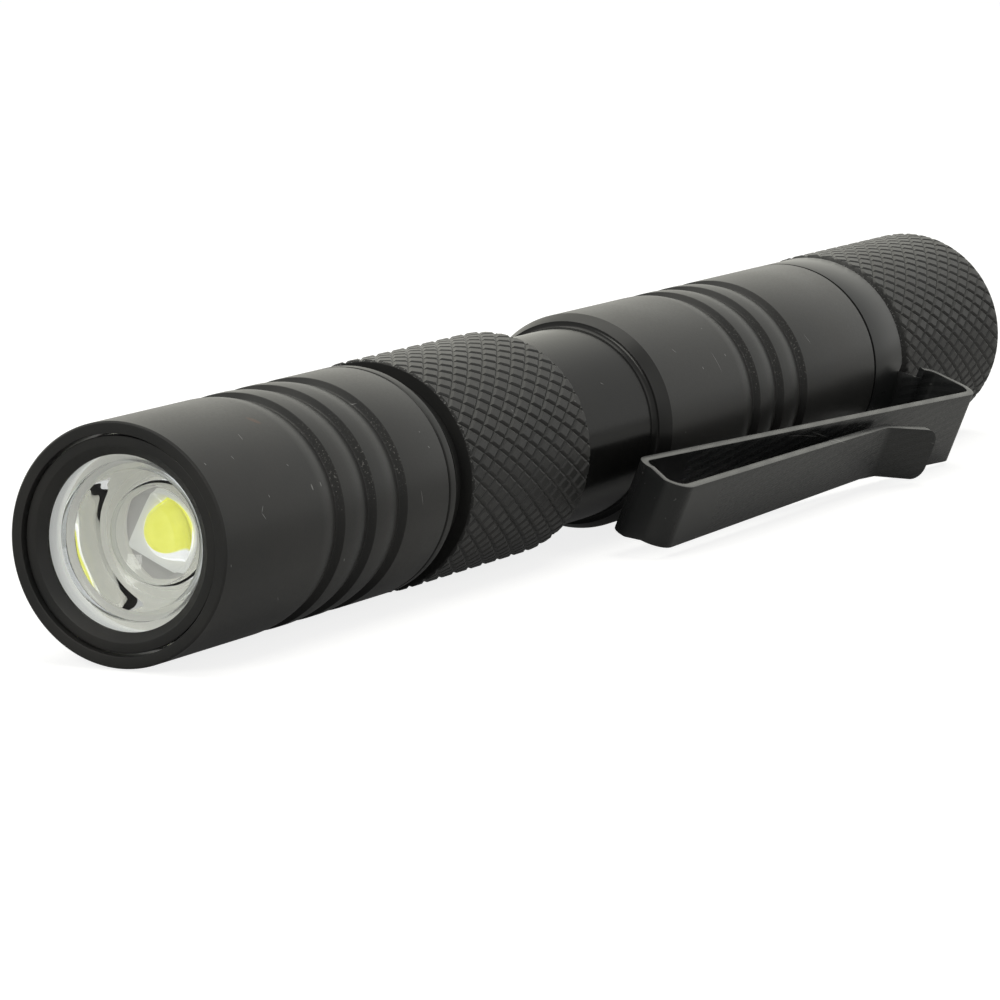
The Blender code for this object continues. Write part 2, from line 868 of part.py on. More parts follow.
main()
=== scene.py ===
import math

import bmesh
import bpy
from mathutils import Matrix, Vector


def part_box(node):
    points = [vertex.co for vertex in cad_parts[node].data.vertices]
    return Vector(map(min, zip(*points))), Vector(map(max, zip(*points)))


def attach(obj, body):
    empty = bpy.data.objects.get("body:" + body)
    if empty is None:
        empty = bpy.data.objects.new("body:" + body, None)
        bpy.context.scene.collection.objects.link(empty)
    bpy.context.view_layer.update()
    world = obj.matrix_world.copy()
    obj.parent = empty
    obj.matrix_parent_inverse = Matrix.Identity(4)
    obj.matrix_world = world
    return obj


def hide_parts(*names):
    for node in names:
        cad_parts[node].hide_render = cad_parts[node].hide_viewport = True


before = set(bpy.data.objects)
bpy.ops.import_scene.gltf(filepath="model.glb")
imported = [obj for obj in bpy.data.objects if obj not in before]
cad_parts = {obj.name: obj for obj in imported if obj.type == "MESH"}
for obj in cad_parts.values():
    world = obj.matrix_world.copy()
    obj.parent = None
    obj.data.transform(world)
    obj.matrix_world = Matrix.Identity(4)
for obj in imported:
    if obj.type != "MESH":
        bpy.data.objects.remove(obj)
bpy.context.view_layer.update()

mm = 0.001


def lengths(**inMillimetres):
    # named sizes, written in mm and kept in metres
    return {name: length * mm for name, length in inMillimetres.items()}


# the light's own axis lies along X; a station is a distance behind the front rim
headLow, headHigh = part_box("head_housing")
axisY = (headLow.y + headHigh.y) / 2
axisZ = (headLow.z + headHigh.z) / 2
rimX = headLow.x


def nodeSpan(node):
    # front and back stations of a CAD node, and its outer radius
    low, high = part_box(node)
    return low.x - rimX, high.x - rimX, (high.z - low.z) / 2


headEnd, bodyRadius = nodeSpan("head_housing")[1:]
tubeFront, tubeBack = nodeSpan("battery_tube")[:2]
tailStart, tailEnd = nodeSpan("tail_cap")[:2]
print("frame loaded: body radius", round(bodyRadius / mm, 2), "mm")

# camera, from the perspective of the photograph
view = {
    "rimToLens": Vector((-294.2, -177.6, 55.0)) * mm,
    "tilt": 81.35,
    "turn": -62.82,
    "focalLength": 202.6,
}
cameraData = bpy.data.cameras.new("camera")
cameraData.lens = view["focalLength"]
cameraData.sensor_width = 36
camera = bpy.data.objects.new("camera", cameraData)
camera.location = Vector((rimX, axisY, axisZ)) + view["rimToLens"]
camera.rotation_euler = (math.radians(view["tilt"]), 0, math.radians(view["turn"]))
bpy.context.scene.collection.objects.link(camera)
bpy.context.scene.camera = camera
bpy.context.scene.view_settings.view_transform = "Standard"
print("camera placed")


# modelling helpers

def leaveEdit():
    bpy.ops.object.mode_set(mode="OBJECT")


def deselect():
    if bpy.context.mode != "OBJECT":
        leaveEdit()
    bpy.ops.object.select_all(action="DESELECT")


def choose(*items):
    deselect()
    for item in items:
        item.select_set(True)
    bpy.context.view_layer.objects.active = items[0]


def edit(piece):
    choose(piece)
    bpy.ops.object.mode_set(mode="EDIT")


def applyAll(piece):
    choose(piece)
    for modifier in list(piece.modifiers):
        bpy.ops.object.modifier_apply(modifier=modifier.name)


def selectAll():
    bpy.ops.mesh.select_all(action="SELECT")


def pick(kind, test):
    # selects what passes the test, by the place of its middle, in edit mode
    bpy.ops.mesh.select_mode(type=kind)
    bpy.ops.mesh.select_all(action="DESELECT")
    mesh = bmesh.from_edit_mesh(bpy.context.object.data)
    if kind == "VERT":
        for vertex in mesh.verts:
            vertex.select_set(test(vertex.co))
    if kind == "EDGE":
        for edge in mesh.edges:
            if test((edge.verts[0].co + edge.verts[1].co) / 2):
                edge.select_set(True)
    if kind == "FACE":
        for face in mesh.faces:
            if test(face.calc_center_median()):
                face.select_set(True)
    bmesh.update_edit_mesh(bpy.context.object.data)


def startPoint(name, place):
    # a plane merged to one point, ready to be drawn out
    deselect()
    bpy.ops.mesh.primitive_plane_add(size=mm, location=place)
    piece = bpy.context.object
    piece.name = name
    bpy.ops.object.transform_apply()
    bpy.ops.object.mode_set(mode="EDIT")
    bpy.ops.mesh.select_mode(type="VERT")
    selectAll()
    bpy.ops.mesh.merge(type="CENTER")
    return piece


def drawTo(step):
    bpy.ops.mesh.extrude_vertices_move(TRANSFORM_OT_translate={"value": step})


def closeUp(threshold=1e-7):
    selectAll()
    bpy.ops.mesh.remove_doubles(threshold=threshold)
    bpy.ops.mesh.normals_make_consistent(inside=False)


def shade(piece, angle=28):
    choose(piece)
    bpy.ops.object.shade_smooth_by_angle(angle=math.radians(angle))
    return piece


def arc(before, corner, after, radius, steps):
    # the points that round a corner between its two neighbours
    here = Vector(corner[:2])
    toBefore = (Vector(before[:2]) - here).normalized()
    toAfter = (Vector(after[:2]) - here).normalized()
    half = toBefore.angle(toAfter) / 2
    centre = here + (toBefore + toAfter).normalized() * radius / math.sin(half)
    first = here + toBefore * radius / math.tan(half) - centre
    last = here + toAfter * radius / math.tan(half) - centre
    points = []
    for step in range(steps + 1):
        spoke = first.slerp(last, step / steps).normalized() * radius
        points.append(tuple(centre + spoke))
    return points


def softened(corners, steps):
    # corners hold station and radius, and a rounding where they aren't sharp
    points = []
    for number, corner in enumerate(corners):
        if len(corner) == 2:
            points.append(tuple(Vector(corner)))
            continue
        after = corners[(number + 1) % len(corners)]
        points += arc(corners[number - 1], corner, after, corner[2], steps)
    return points


def lathe(name, corners, steps=144, angle=28, rounding=4):
    # turns an outline of stations and radii about the light's axis
    outline = softened(corners, rounding)
    if max(outline[0][1], outline[-1][1]) > 1e-7:
        outline.append(outline[0])
    station, radius = outline[0]
    piece = startPoint(name, (rimX + station, axisY, axisZ + radius))
    for before, after in zip(outline, outline[1:]):
        drawTo((after[0] - before[0], 0, after[1] - before[1]))
    selectAll()
    bpy.ops.mesh.spin(
        steps=steps, angle=2 * math.pi, center=(rimX, axisY, axisZ), axis=(1, 0, 0)
    )
    closeUp()
    return shade(piece, angle)


def disc(name, node, soft, steps, bore=0):
    # a plain disc or ring, as wide and as thick as its CAD node
    front, back, radius = nodeSpan(node)
    inner = [(station, bore, soft) if bore else (station, 0) for station in (front, back)]
    corners = [inner[0], (front, radius, soft), (back, radius, soft), inner[1]]
    return lathe(name, corners, steps)


def joined(first, *others):
    choose(first, *others)
    bpy.ops.object.join()
    return first


def scoopCorners(first):
    # each scoop deepens along an even curve and ends at a steep wall
    corners = []
    for number in range(scoop["count"]):
        start = first + number * scoop["pitch"]
        foot = start + scoop["ramp"]
        for step in range(scoop["curveSteps"]):
            along = step / scoop["curveSteps"]
            corners.append((start + scoop["ramp"] * along, bodyRadius - scoop["depth"] * along**2))
        corners.append((foot, bodyRadius - scoop["depth"], scoop["footRounding"]))
        corners.append((foot + scoop["wall"], bodyRadius, scoop["edgeRounding"]))
    return corners


scoop = lengths(
    pitch=4.2,
    ramp=2.6,
    wall=0.4,
    depth=0.45,
    footRounding=0.22,
    edgeRounding=0.12,
) | {"count": 3, "curveSteps": 12}

# the knurl, a lattice of flat-topped diamonds between crossing grooves
knurl = lengths(
    rise=0.12,
    depth=0.12,
    grooveSide=0.15,
    crest=0.05,
    crestDrop=0.02,
    core=6.7,
) | {"starts": 40, "lead": 30}
knurlTip = bodyRadius + knurl["rise"]
diamondWidth = 2 * math.pi * knurlTip / knurl["starts"]
diamondLength = diamondWidth / math.tan(math.radians(knurl["lead"]))


def knurlBand(name, start, end, limit, cuts):
    # one diamond, copied into a flat sheet, cut at the stations in cuts and wrapped round
    deselect()
    bpy.ops.mesh.primitive_plane_add(size=math.sqrt(2), rotation=(0, 0, math.pi / 4))
    band = bpy.context.object
    band.name = name
    bpy.ops.object.transform_apply()
    band.scale = (diamondLength / 2, diamondWidth / 2, 1)
    bpy.ops.object.transform_apply()
    bpy.ops.object.mode_set(mode="EDIT")
    selectAll()
    rise = knurl["depth"] - knurl["crestDrop"]
    bpy.ops.mesh.inset(thickness=knurl["grooveSide"], depth=0)
    bpy.ops.transform.translate(value=(0, 0, rise))
    bpy.ops.mesh.inset(thickness=knurl["crest"], depth=0)
    bpy.ops.transform.translate(value=(0, 0, knurl["crestDrop"]))
    leaveEdit()
    rows = math.ceil((end - start) / diamondLength) + 1
    copies = [
        (2, (diamondLength / 2, diamondWidth / 2, 0)),
        (rows, (diamondLength, 0, 0)),
        (knurl["starts"], (0, diamondWidth, 0)),
    ]
    for count, step in copies:
        array = band.modifiers.new("copies", "ARRAY")
        array.use_relative_offset = False
        array.use_constant_offset = True
        array.constant_offset_displace = step
        array.count = count
        array.use_merge_vertices = True
        array.merge_threshold = 1e-6
    applyAll(band)
    edit(band)
    length = end - start
    edges = [(0, True, False), (length, False, True)]
    edges += [(station - start, False, False) for station in cuts]
    for place, clearInner, clearOuter in edges:
        selectAll()
        bpy.ops.mesh.bisect(
            plane_co=(place, 0, 0),
            plane_no=(1, 0, 0),
            clear_inner=clearInner,
            clear_outer=clearOuter,
            threshold=1e-7,
        )
    leaveEdit()
    root = knurlTip - knurl["depth"]
    for vertex in band.data.vertices:
        along, across, height = vertex.co
        angle = across / knurlTip
        radius = min(root + height, limit(start + along))
        vertex.co = (
            rimX + start + along,
            axisY + radius * math.sin(angle),
            axisZ + radius * math.cos(angle),
        )
    edit(band)
    closeUp(1e-6)
    # the open ends are turned in to the core and closed underneath
    pick("VERT", lambda place: False)
    bpy.ops.mesh.select_mode(type="EDGE")
    bpy.ops.mesh.select_non_manifold(extend=False, use_boundary=True)
    bpy.ops.mesh.extrude_region_move()
    leaveEdit()
    for vertex in band.data.vertices:
        if vertex.select:
            across = Vector((vertex.co.y - axisY, vertex.co.z - axisZ)).normalized()
            vertex.co.y = axisY + across.x * knurl["core"]
            vertex.co.z = axisZ + across.y * knurl["core"]
    edit(band)
    bpy.ops.mesh.select_mode(type="EDGE")
    bpy.ops.mesh.select_non_manifold(extend=False, use_boundary=True)
    bpy.ops.mesh.bridge_edge_loops()
    closeUp(1e-7)
    return shade(band, 20)


def seal(name, node, flash=0.02 * mm, steps=28):
    # an O-ring: a round cord with the fine line that its mould leaves outside
    front, back, outer = nodeSpan(node)
    middle = (front + back) / 2
    cord = (back - front) / 2
    outline = []
    for step in range(steps):
        angle = 2 * math.pi * step / steps
        reach = cord + (flash if step == steps // 4 else 0)
        outline.append((middle - cord * math.cos(angle), outer - cord + reach * math.sin(angle)))
    return lathe(name, outline, angle=60)


# the head
head = lengths(
    rimChamfer=0.12,
    rimWidth=0.78,
    scoopStart=12.1,
    lineStation=29.4,
    lineWidth=0.3,
    lineDepth=0.2,
    rearChamfer=0.25,
    threadRadius=6.65,
    wall=0.7,
    shoulder=11.75,
    seat=3.55,
    soft=0.05,
    boreSoft=0.04,
    lineSoft=0.02,
)
bezelBore = bodyRadius - head["rimWidth"]
headCorners = [
    (0, bezelBore, head["boreSoft"]),
    (0, bodyRadius - head["rimChamfer"], head["soft"]),
    (head["rimChamfer"], bodyRadius, head["soft"]),
]
headCorners += scoopCorners(head["scoopStart"])
line, lineQuarter = head["lineStation"], head["lineWidth"] / 4
headCorners += [
    (line - 2 * lineQuarter, bodyRadius, head["lineSoft"]),
    (line - lineQuarter, bodyRadius - head["lineDepth"]),
    (line + lineQuarter, bodyRadius - head["lineDepth"]),
    (line + 2 * lineQuarter, bodyRadius, head["lineSoft"]),
    (headEnd - head["rearChamfer"], bodyRadius, head["soft"]),
    (headEnd, bodyRadius - head["rearChamfer"], head["soft"]),
    (headEnd, head["threadRadius"], head["soft"]),
    (head["shoulder"], head["threadRadius"]),
    (head["shoulder"], bezelBore - head["wall"]),
    (head["seat"], bezelBore - head["wall"]),
    (head["seat"], bezelBore),
]
headShell = lathe("headShell", headCorners, steps=192)

bezel = lengths(
    bevelWidth=0.6,
    bevelDepth=0.5,
    aperture=5.58,
    rimSoft=0.05,
    soft=0.06,
)
bezelFront, bezelBack, bezelOuter = nodeSpan("retaining_ring")
bezelCorners = [
    (bezelFront, bezel["aperture"] + bezel["bevelWidth"], bezel["rimSoft"]),
    (bezelFront, bezelOuter, bezel["soft"]),
    (bezelBack, bezelOuter),
    (bezelBack, bezel["aperture"]),
    (bezelFront + bezel["bevelDepth"], bezel["aperture"], bezel["soft"]),
]
bezelRing = lathe("bezelRing", bezelCorners, steps=192)
print("head turned")

# the lens: a flange, a drum, a body that narrows to its foot, and a cavity over the lamp
lens = lengths(
    flange=0.9,
    drum=5.05,
    drumLength=1.1,
    shoulder=4.45,
    foot=4.0,
    cavity=3.5,
    cavityDepth=2.0,
    draft=0.45,
    bulge=0.5,
    bulgeRadius=2.7,
    flangeSoft=0.1,
    drumSoft=0.05,
    cavitySoft=0.04,
    rippleDepth=0.015,
    behindRing=0.05,
) | {"ripples": 9, "rippleLean": 900, "curveSteps": 28}
lensBack, lensRadius = nodeSpan("optic")[1:]
lensFront = bezelBack + lens["behindRing"]
lensFlangeBack = lensFront + lens["flange"]
lensShoulder = lensFlangeBack + lens["drumLength"]


def flareRadius(station):
    # the lens narrows evenly from its shoulder to its foot
    down = (station - lensShoulder) / (lensBack - lensShoulder)
    return lens["foot"] + (lens["shoulder"] - lens["foot"]) * (1 - down)


flare = [
    lensShoulder + (lensBack - lensShoulder) * step / lens["curveSteps"]
    for step in range(lens["curveSteps"] + 1)
]
lensCorners = [
    (lensFront, 0),
    (lensFront, lensRadius, lens["flangeSoft"]),
    (lensFlangeBack, lensRadius, lens["flangeSoft"]),
    (lensFlangeBack, lens["drum"]),
    (lensShoulder, lens["drum"], lens["drumSoft"]),
]
lensCorners += [(station, flareRadius(station)) for station in flare]
cavityFloor = lensBack - lens["cavityDepth"]
lensCorners.append((lensBack, lens["cavity"]))
lensCorners.append((cavityFloor, lens["cavity"] - lens["draft"], lens["cavitySoft"]))
for step in range(lens["curveSteps"], -1, -1):
    across = step / lens["curveSteps"]
    height = lens["bulge"] * (1 - across**2)
    lensCorners.append((cavityFloor + height, lens["bulgeRadius"] * across))
clearLens = lathe("clearLens", lensCorners, steps=160, angle=30)
for vertex in clearLens.data.vertices:
    # the moulded wall is a little uneven, which breaks up what it mirrors
    station = vertex.co.x - rimX
    spoke = Vector((0, vertex.co.y - axisY, vertex.co.z - axisZ))
    if lensShoulder < station < lensBack and spoke.length > flareRadius(station) - 1e-6:
        around = math.atan2(spoke.y, spoke.z) * lens["ripples"]
        uneven = math.sin(around + lens["rippleLean"] * (station - lensShoulder))
        uneven *= math.sin(math.pi * (station - lensShoulder) / (lensBack - lensShoulder))
        vertex.co -= spoke.normalized() * lens["rippleDepth"] * (1 + uneven) / 2

# the lamp under it
lamp = lengths(
    side=4.0,
    corner=0.25,
    border=0.12,
    borderDrop=0.04,
    # glow and glowLift size and raise the yellow disc painted on the dome; outside it a painted
    # reflection shows white
    glow=1.45,
    glowLift=0.3,
    dome=1.45,
    rim=0.06,
    plug=0.28,
    holderBase=0.4,
    holderSoft=0.08,
    cupSoft=0.1,
    lipSoft=0.05,
    holderGap=0.3,
    holderPlay=0.15,
    gasketWidth=1.2,
    gasketSoft=0.1,
    boardSoft=0.05,
) | {"turn": 25, "domeSteps": 16}
packageFront, packageBack = nodeSpan("led_package")[:2]
packageHalf = lamp["side"] / 2
deselect()
bpy.ops.mesh.primitive_cube_add(
    size=1, location=(rimX + (packageFront + packageBack) / 2, axisY, axisZ)
)
lampPackage = bpy.context.object
lampPackage.name = "lampPackage"
lampPackage.scale = (packageBack - packageFront, lamp["side"], lamp["side"])
bpy.ops.object.transform_apply()
edit(lampPackage)
pick("EDGE", lambda place: abs(abs(place.y - axisY) - abs(place.z - axisZ)) < 1e-6
     and abs(place.y - axisY) > packageHalf / 2)
bpy.ops.mesh.bevel(offset=lamp["corner"], segments=4, affect="EDGES")
pick("FACE", lambda place: place.x < rimX + packageFront + 1e-6)
bpy.ops.mesh.inset(thickness=lamp["border"], depth=0)
bpy.ops.transform.translate(value=(-lamp["borderDrop"], 0, 0))
selectAll()
bpy.ops.transform.rotate(  # with no window it turns the other way
    value=-math.radians(lamp["turn"]), orient_axis="X", center_override=(rimX, axisY, axisZ)
)
leaveEdit()
shade(lampPackage, 30)

domeFront, domeBack = nodeSpan("led_dome")[:2]
domeCorners = []
for step in range(lamp["domeSteps"] + 1):
    angle = math.pi / 2 * step / lamp["domeSteps"]
    height = (domeBack - domeFront) * math.cos(angle)
    domeCorners.append((domeBack - height, lamp["dome"] * math.sin(angle)))
domeCorners[0] = (domeFront, 0)
domeCorners += [(domeBack, lamp["dome"] + lamp["rim"]), (domeBack + lamp["plug"], 0)]
lampDome = lathe("lampDome", domeCorners, steps=64)

# a white holder cups the lens, open in the middle for the lamp
holderFront, holderBack, holderRadius = nodeSpan("optic_holder")
holderHole = packageHalf * math.sqrt(2) + lamp["holderPlay"]
cupFloor = holderBack - lamp["holderBase"]
holderCorners = [
    (holderFront, holderRadius, lamp["holderSoft"]),
    (holderBack, holderRadius),
    (holderBack, holderHole),
    (cupFloor, holderHole, lamp["holderSoft"]),
    (cupFloor, lens["foot"] + lamp["holderGap"], lamp["cupSoft"]),
]
for station in reversed(flare):
    if station > holderFront + lamp["cupSoft"]:
        holderCorners.append((station, flareRadius(station) + lamp["holderGap"]))
mouth = flareRadius(holderFront) + lamp["holderGap"]
holderCorners.append((holderFront, mouth, lamp["lipSoft"]))
lensHolder = lathe("lensHolder", holderCorners, steps=128)

gasketBore = nodeSpan("optic_gasket")[2] - lamp["gasketWidth"]
lensGasket = disc("lensGasket", "optic_gasket", lamp["gasketSoft"], 128, gasketBore)
lampBoard = disc("lampBoard", "led_board", lamp["boardSoft"], 96)
print("lens and lamp made")

# the battery tube
tube = lengths(
    bore=5.4,
    nose=6.5,
    neck=6.85,
    sealFloor=5.8,
    sealGap=2.1,
    gripLength=17.5,
    neckLength=12.1,
    stepFillet=0.4,
    chamferLength=1.2,
    chamferHeight=0.45,
    scoopStart=13.2,
    clipRing=5.0,
    clipSheet=0.55,
    gap=0.3,
    slip=0.15,
    endChamfer=0.4,
    threadRunIn=0.4,
    threadPitch=0.75,
    threadDepth=0.25,
    gripChamfer=0.15,
    soft=0.04,
) | {"chamferCuts": 4}
threadShape = ((0, 0), (0.35, 1), (0.5, 1), (0.85, 0))  # shares of the pitch and of the depth
gripStart = headEnd + tube["sealGap"]
gripEnd = gripStart + tube["gripLength"]
barrelStart = gripEnd + tube["neckLength"]
clipRingBack = tailStart - tube["gap"]
clipRingFront = clipRingBack - tube["clipRing"]
grooveRadius = bodyRadius - tube["clipSheet"] - tube["slip"]


def sealGroove(node, before, after):
    # a square groove with room on both sides of its O-ring
    front, back = nodeSpan(node)[:2]
    front, back = front - tube["slip"], back + tube["slip"]
    floor = tube["sealFloor"]
    return [(front, *before), (front, floor), (back, floor), (back, *after)]


softNose = (tube["nose"], tube["soft"])
tubeCorners = [
    (tubeFront, tube["bore"]),
    (tubeFront, tube["nose"] - tube["endChamfer"]),
    (tubeFront + tube["endChamfer"], tube["nose"]),
    *sealGroove("head_oring", (tube["nose"],), (tube["neck"], tube["soft"])),
    (barrelStart, tube["neck"], tube["stepFillet"]),
    (barrelStart, bodyRadius - tube["chamferHeight"], tube["soft"]),
    (barrelStart + tube["chamferLength"], bodyRadius, tube["soft"]),
    *scoopCorners(barrelStart + tube["scoopStart"]),
    (clipRingFront - tube["gap"], bodyRadius, tube["soft"]),
    (clipRingFront - tube["gap"], grooveRadius),
    (clipRingBack, grooveRadius, tube["soft"]),
    (clipRingBack, tube["nose"]),
    *sealGroove("tail_oring", softNose, softNose),
]
threadStart = tubeCorners[-1][0] + tube["threadRunIn"]
ridges = int((tubeBack - tube["endChamfer"] - threadStart) / tube["threadPitch"])
for ridge in range(ridges):
    station = threadStart + ridge * tube["threadPitch"]
    for share, depth in threadShape:
        radius = tube["nose"] - depth * tube["threadDepth"]
        tubeCorners.append((station + share * tube["threadPitch"], radius))
tubeCorners += [
    (tubeBack - tube["endChamfer"], tube["nose"]),
    (tubeBack, tube["nose"] - tube["endChamfer"], tube["soft"]),
    (tubeBack, tube["bore"], tube["soft"]),
]
tubeShell = lathe("tubeShell", tubeCorners, steps=192)


def gripLimit(station):
    # both ends of the grip are chamfered at forty-five degrees
    return knurlTip - tube["gripChamfer"] + min(station - gripStart, gripEnd - station)


gripCuts = []
for step in range(1, tube["chamferCuts"] + 1):
    cut = tube["gripChamfer"] * step / tube["chamferCuts"]
    gripCuts += [gripStart + cut, gripEnd - cut]
grip = knurlBand("grip", gripStart, gripEnd, gripLimit, gripCuts)
joined(tubeShell, grip)
frontSeal = seal("frontSeal", "head_oring")
rearSeal = seal("rearSeal", "tail_oring")
print("battery tube turned and knurled")

# the tail cap
tail = lengths(
    chamfer=0.6,
    round=1.4,
    faceRadius=6.35,
    opening=4.6,
    wall=3.9,
    flangeBore=6.35,
    threadRadius=6.65,
    core=7.2,
    coreSlope=0.3,
    knurlSetBack=0.25,
    knurlEndGap=0.35,
    cutLength=0.9,
    soft=0.04,
    openingSoft=0.15,
) | {"frontCuts": 5, "rearCuts": 9, "roundSteps": 8}
tailRoot = knurlTip - knurl["depth"]
tailKnurlStart = tailStart + tail["knurlSetBack"]
tailKnurlEnd = tailEnd - tail["knurlEndGap"]
threadEnd = nodeSpan("switch_board")[1] + tube["gap"]


def tailLimit(station):
    # a chamfer at the front, an even round at the tail
    front = tailRoot - tail["chamfer"] + (station - tailStart)
    into = max(0, station - (tailEnd - tail["round"])) / tail["round"]
    rear = tail["faceRadius"] + (knurlTip - tail["faceRadius"]) * math.sqrt(max(0, 1 - into**2))
    return min(front, rear)


tailCorners = [
    (tailStart, tail["threadRadius"]),
    (tailStart, tailRoot - tail["chamfer"], tail["soft"]),
    (tailKnurlStart, tailLimit(tailKnurlStart)),
    (tailKnurlStart + tail["coreSlope"], tail["core"]),
    (tailKnurlEnd - tail["coreSlope"], tail["core"]),
]
for step in range(tail["roundSteps"] + 1):
    station = tailKnurlEnd + (tailEnd - tailKnurlEnd) * step / tail["roundSteps"]
    tailCorners.append((station, tailLimit(station)))
tailCorners += [
    (tailEnd, tail["opening"], tail["openingSoft"]),
    (tailEnd - tail["wall"], tail["opening"]),
    (tailEnd - tail["wall"], tail["flangeBore"]),
    (threadEnd, tail["flangeBore"]),
    (threadEnd, tail["threadRadius"]),
]
tailShell = lathe("tailShell", tailCorners, steps=192)
tailCuts = []
for step in range(1, tail["frontCuts"] + 1):
    tailCuts.append(tailKnurlStart + tail["cutLength"] * step / tail["frontCuts"])
for step in range(tail["rearCuts"] - 1):
    tailCuts.append(tailEnd - tail["round"] * (1 - step / tail["rearCuts"]))
tailGrip = knurlBand("tailGrip", tailKnurlStart, tailKnurlEnd, tailLimit, tailCuts)
joined(tailShell, tailGrip)
print("tail cap turned and knurled")

# the clip, bent from one strip
clip = lengths(
    tabSetBack=0.5,
    rootBend=0.7,
    hookOverhang=1.4,
    hookBend=1.2,
    hookHeight=5.35,
    frontHeight=1.6,
    frontSmall=1.1,
    frontLarge=1.4,
    reach=51.2,
    outerHeight=5.4,
    kinkBack=16.2,
    kinkBend=3.0,
    tipLength=5.2,
    tipRise=2.2,
    tipCorner=1.2,
    rootWidth=4.6,
    hookWidth=6.1,
    frontWidth=5.7,
    outerWidth=5.0,
    kinkWidth=4.3,
    tipWidth=4.4,
    edge=0.16,
) | {
    "belowLevel": 22,
    "opening": 54,
    "sideSteps": 36,
    "tabSteps": 8,
    "bendSteps": 9,
    "flattenSteps": 6,
}


def clipRows():
    # station, height and width of each row across the strip, from the ring to the tip
    sheet = tube["clipSheet"]
    ringMiddle = bodyRadius - sheet / 2
    rise = knurlTip + tube["gap"] + sheet / 2 + tube["slip"] - ringMiddle
    root = clipRingBack - clip["tabSetBack"]
    hook = tailStart + clip["hookOverhang"]
    front = hook - clip["reach"] - clip["hookOverhang"]
    hookLevel = bodyRadius + clip["hookHeight"]
    frontLevel = bodyRadius + clip["frontHeight"]
    kink = hook - clip["kinkBack"]
    slope = (hookLevel - frontLevel) / (hook - front)
    kinkLevel = frontLevel + slope * (kink - front) + sheet + tube["gap"]
    corners = [
        (root, ringMiddle, clip["rootWidth"], 0),
        (root + rise, ringMiddle + rise, clip["rootWidth"], clip["rootBend"]),
        (hook, ringMiddle + rise + tube["gap"], clip["hookWidth"], clip["hookBend"]),
        (hook, hookLevel, clip["hookWidth"], clip["hookBend"]),
        (front, frontLevel, clip["frontWidth"], clip["frontSmall"]),
        (front, bodyRadius + clip["outerHeight"], clip["outerWidth"], clip["frontLarge"]),
        (kink, kinkLevel, clip["kinkWidth"], clip["kinkBend"]),
        (kink + clip["tipLength"], kinkLevel + clip["tipRise"], clip["tipWidth"], 0),
    ]
    rows = [corners[0][:3]]
    for before, corner, after in zip(corners, corners[1:], corners[2:]):
        width, bend = corner[2:]
        rows += [(*point, width) for point in arc(before, corner, after, bend, clip["bendSteps"])]
    # the tip is drawn in along two round corners
    station, height, width = corners[-1][:3]
    end = Vector((station, height))
    along = (end - Vector(rows[-1][:2])).normalized()
    for step in range(clip["bendSteps"] + 1):
        angle = math.pi / 2 * step / clip["bendSteps"]
        back = clip["tipCorner"] * (1 - math.sin(angle))
        narrow = clip["tipCorner"] * (1 - math.cos(angle))
        rows.append((*(end - along * back), width - 2 * narrow))
    return rows


def bentClip():
    # drawn about the origin with its leaf upwards, then turned to its place on the light
    middle = bodyRadius - tube["clipSheet"] / 2
    tabHalf = math.asin(clip["rootWidth"] / 2 / middle)
    sideTurn = math.pi - math.radians(clip["opening"]) / 2 - tabHalf
    begin = sideTurn + tabHalf
    ringEdge = rimX + clipRingBack
    place = (rimX + clipRingFront, -middle * math.sin(begin), middle * math.cos(begin))
    piece = startPoint("twoWayClip", place)
    drawTo((clipRingBack - clipRingFront, 0, 0))
    selectAll()
    sides = (clip["sideSteps"], sideTurn)
    for steps, turn in (sides, (clip["tabSteps"], 2 * tabHalf), sides):
        bpy.ops.mesh.spin(steps=steps, angle=turn, center=(0, 0, 0), axis=(-1, 0, 0))
    selectAll()
    bpy.ops.mesh.remove_doubles(threshold=1e-7)
    edge = clip["rootWidth"] / 2 + 1e-5
    pick("EDGE", lambda at: at.x > ringEdge - 1e-6 and at.z > 0 and abs(at.y) < edge)
    bpy.ops.transform.translate(value=(-clip["tabSetBack"], 0, 0))
    rows = clipRows()
    flatten = 1
    for before, row in zip(rows, rows[1:]):
        step = (row[0] - before[0], 0, row[1] - before[1])
        bpy.ops.mesh.extrude_region_move(TRANSFORM_OT_translate={"value": step})
        left = max(flatten - 1 / clip["flattenSteps"], 0)
        bpy.ops.transform.resize(
            value=(1, row[2] / before[2], left / flatten if flatten else 1),
            center_override=(rimX + row[0], 0, row[1]),
        )
        flatten = left
    selectAll()
    bpy.ops.mesh.normals_make_consistent(inside=False)
    leaveEdit()
    piece.location = (0, axisY, axisZ)
    piece.rotation_euler.x = math.radians(90 + clip["belowLevel"])
    choose(piece)
    bpy.ops.object.transform_apply()
    sheet = piece.modifiers.new("sheet", "SOLIDIFY")
    sheet.thickness = tube["clipSheet"]
    sheet.offset = 0
    sheet.use_even_offset = True
    rounding = piece.modifiers.new("edges", "BEVEL")
    rounding.width = clip["edge"]
    rounding.segments = 3
    rounding.angle_limit = math.radians(50)
    applyAll(piece)
    return shade(piece, 35)


twoWayClip = bentClip()
print("clip bent")

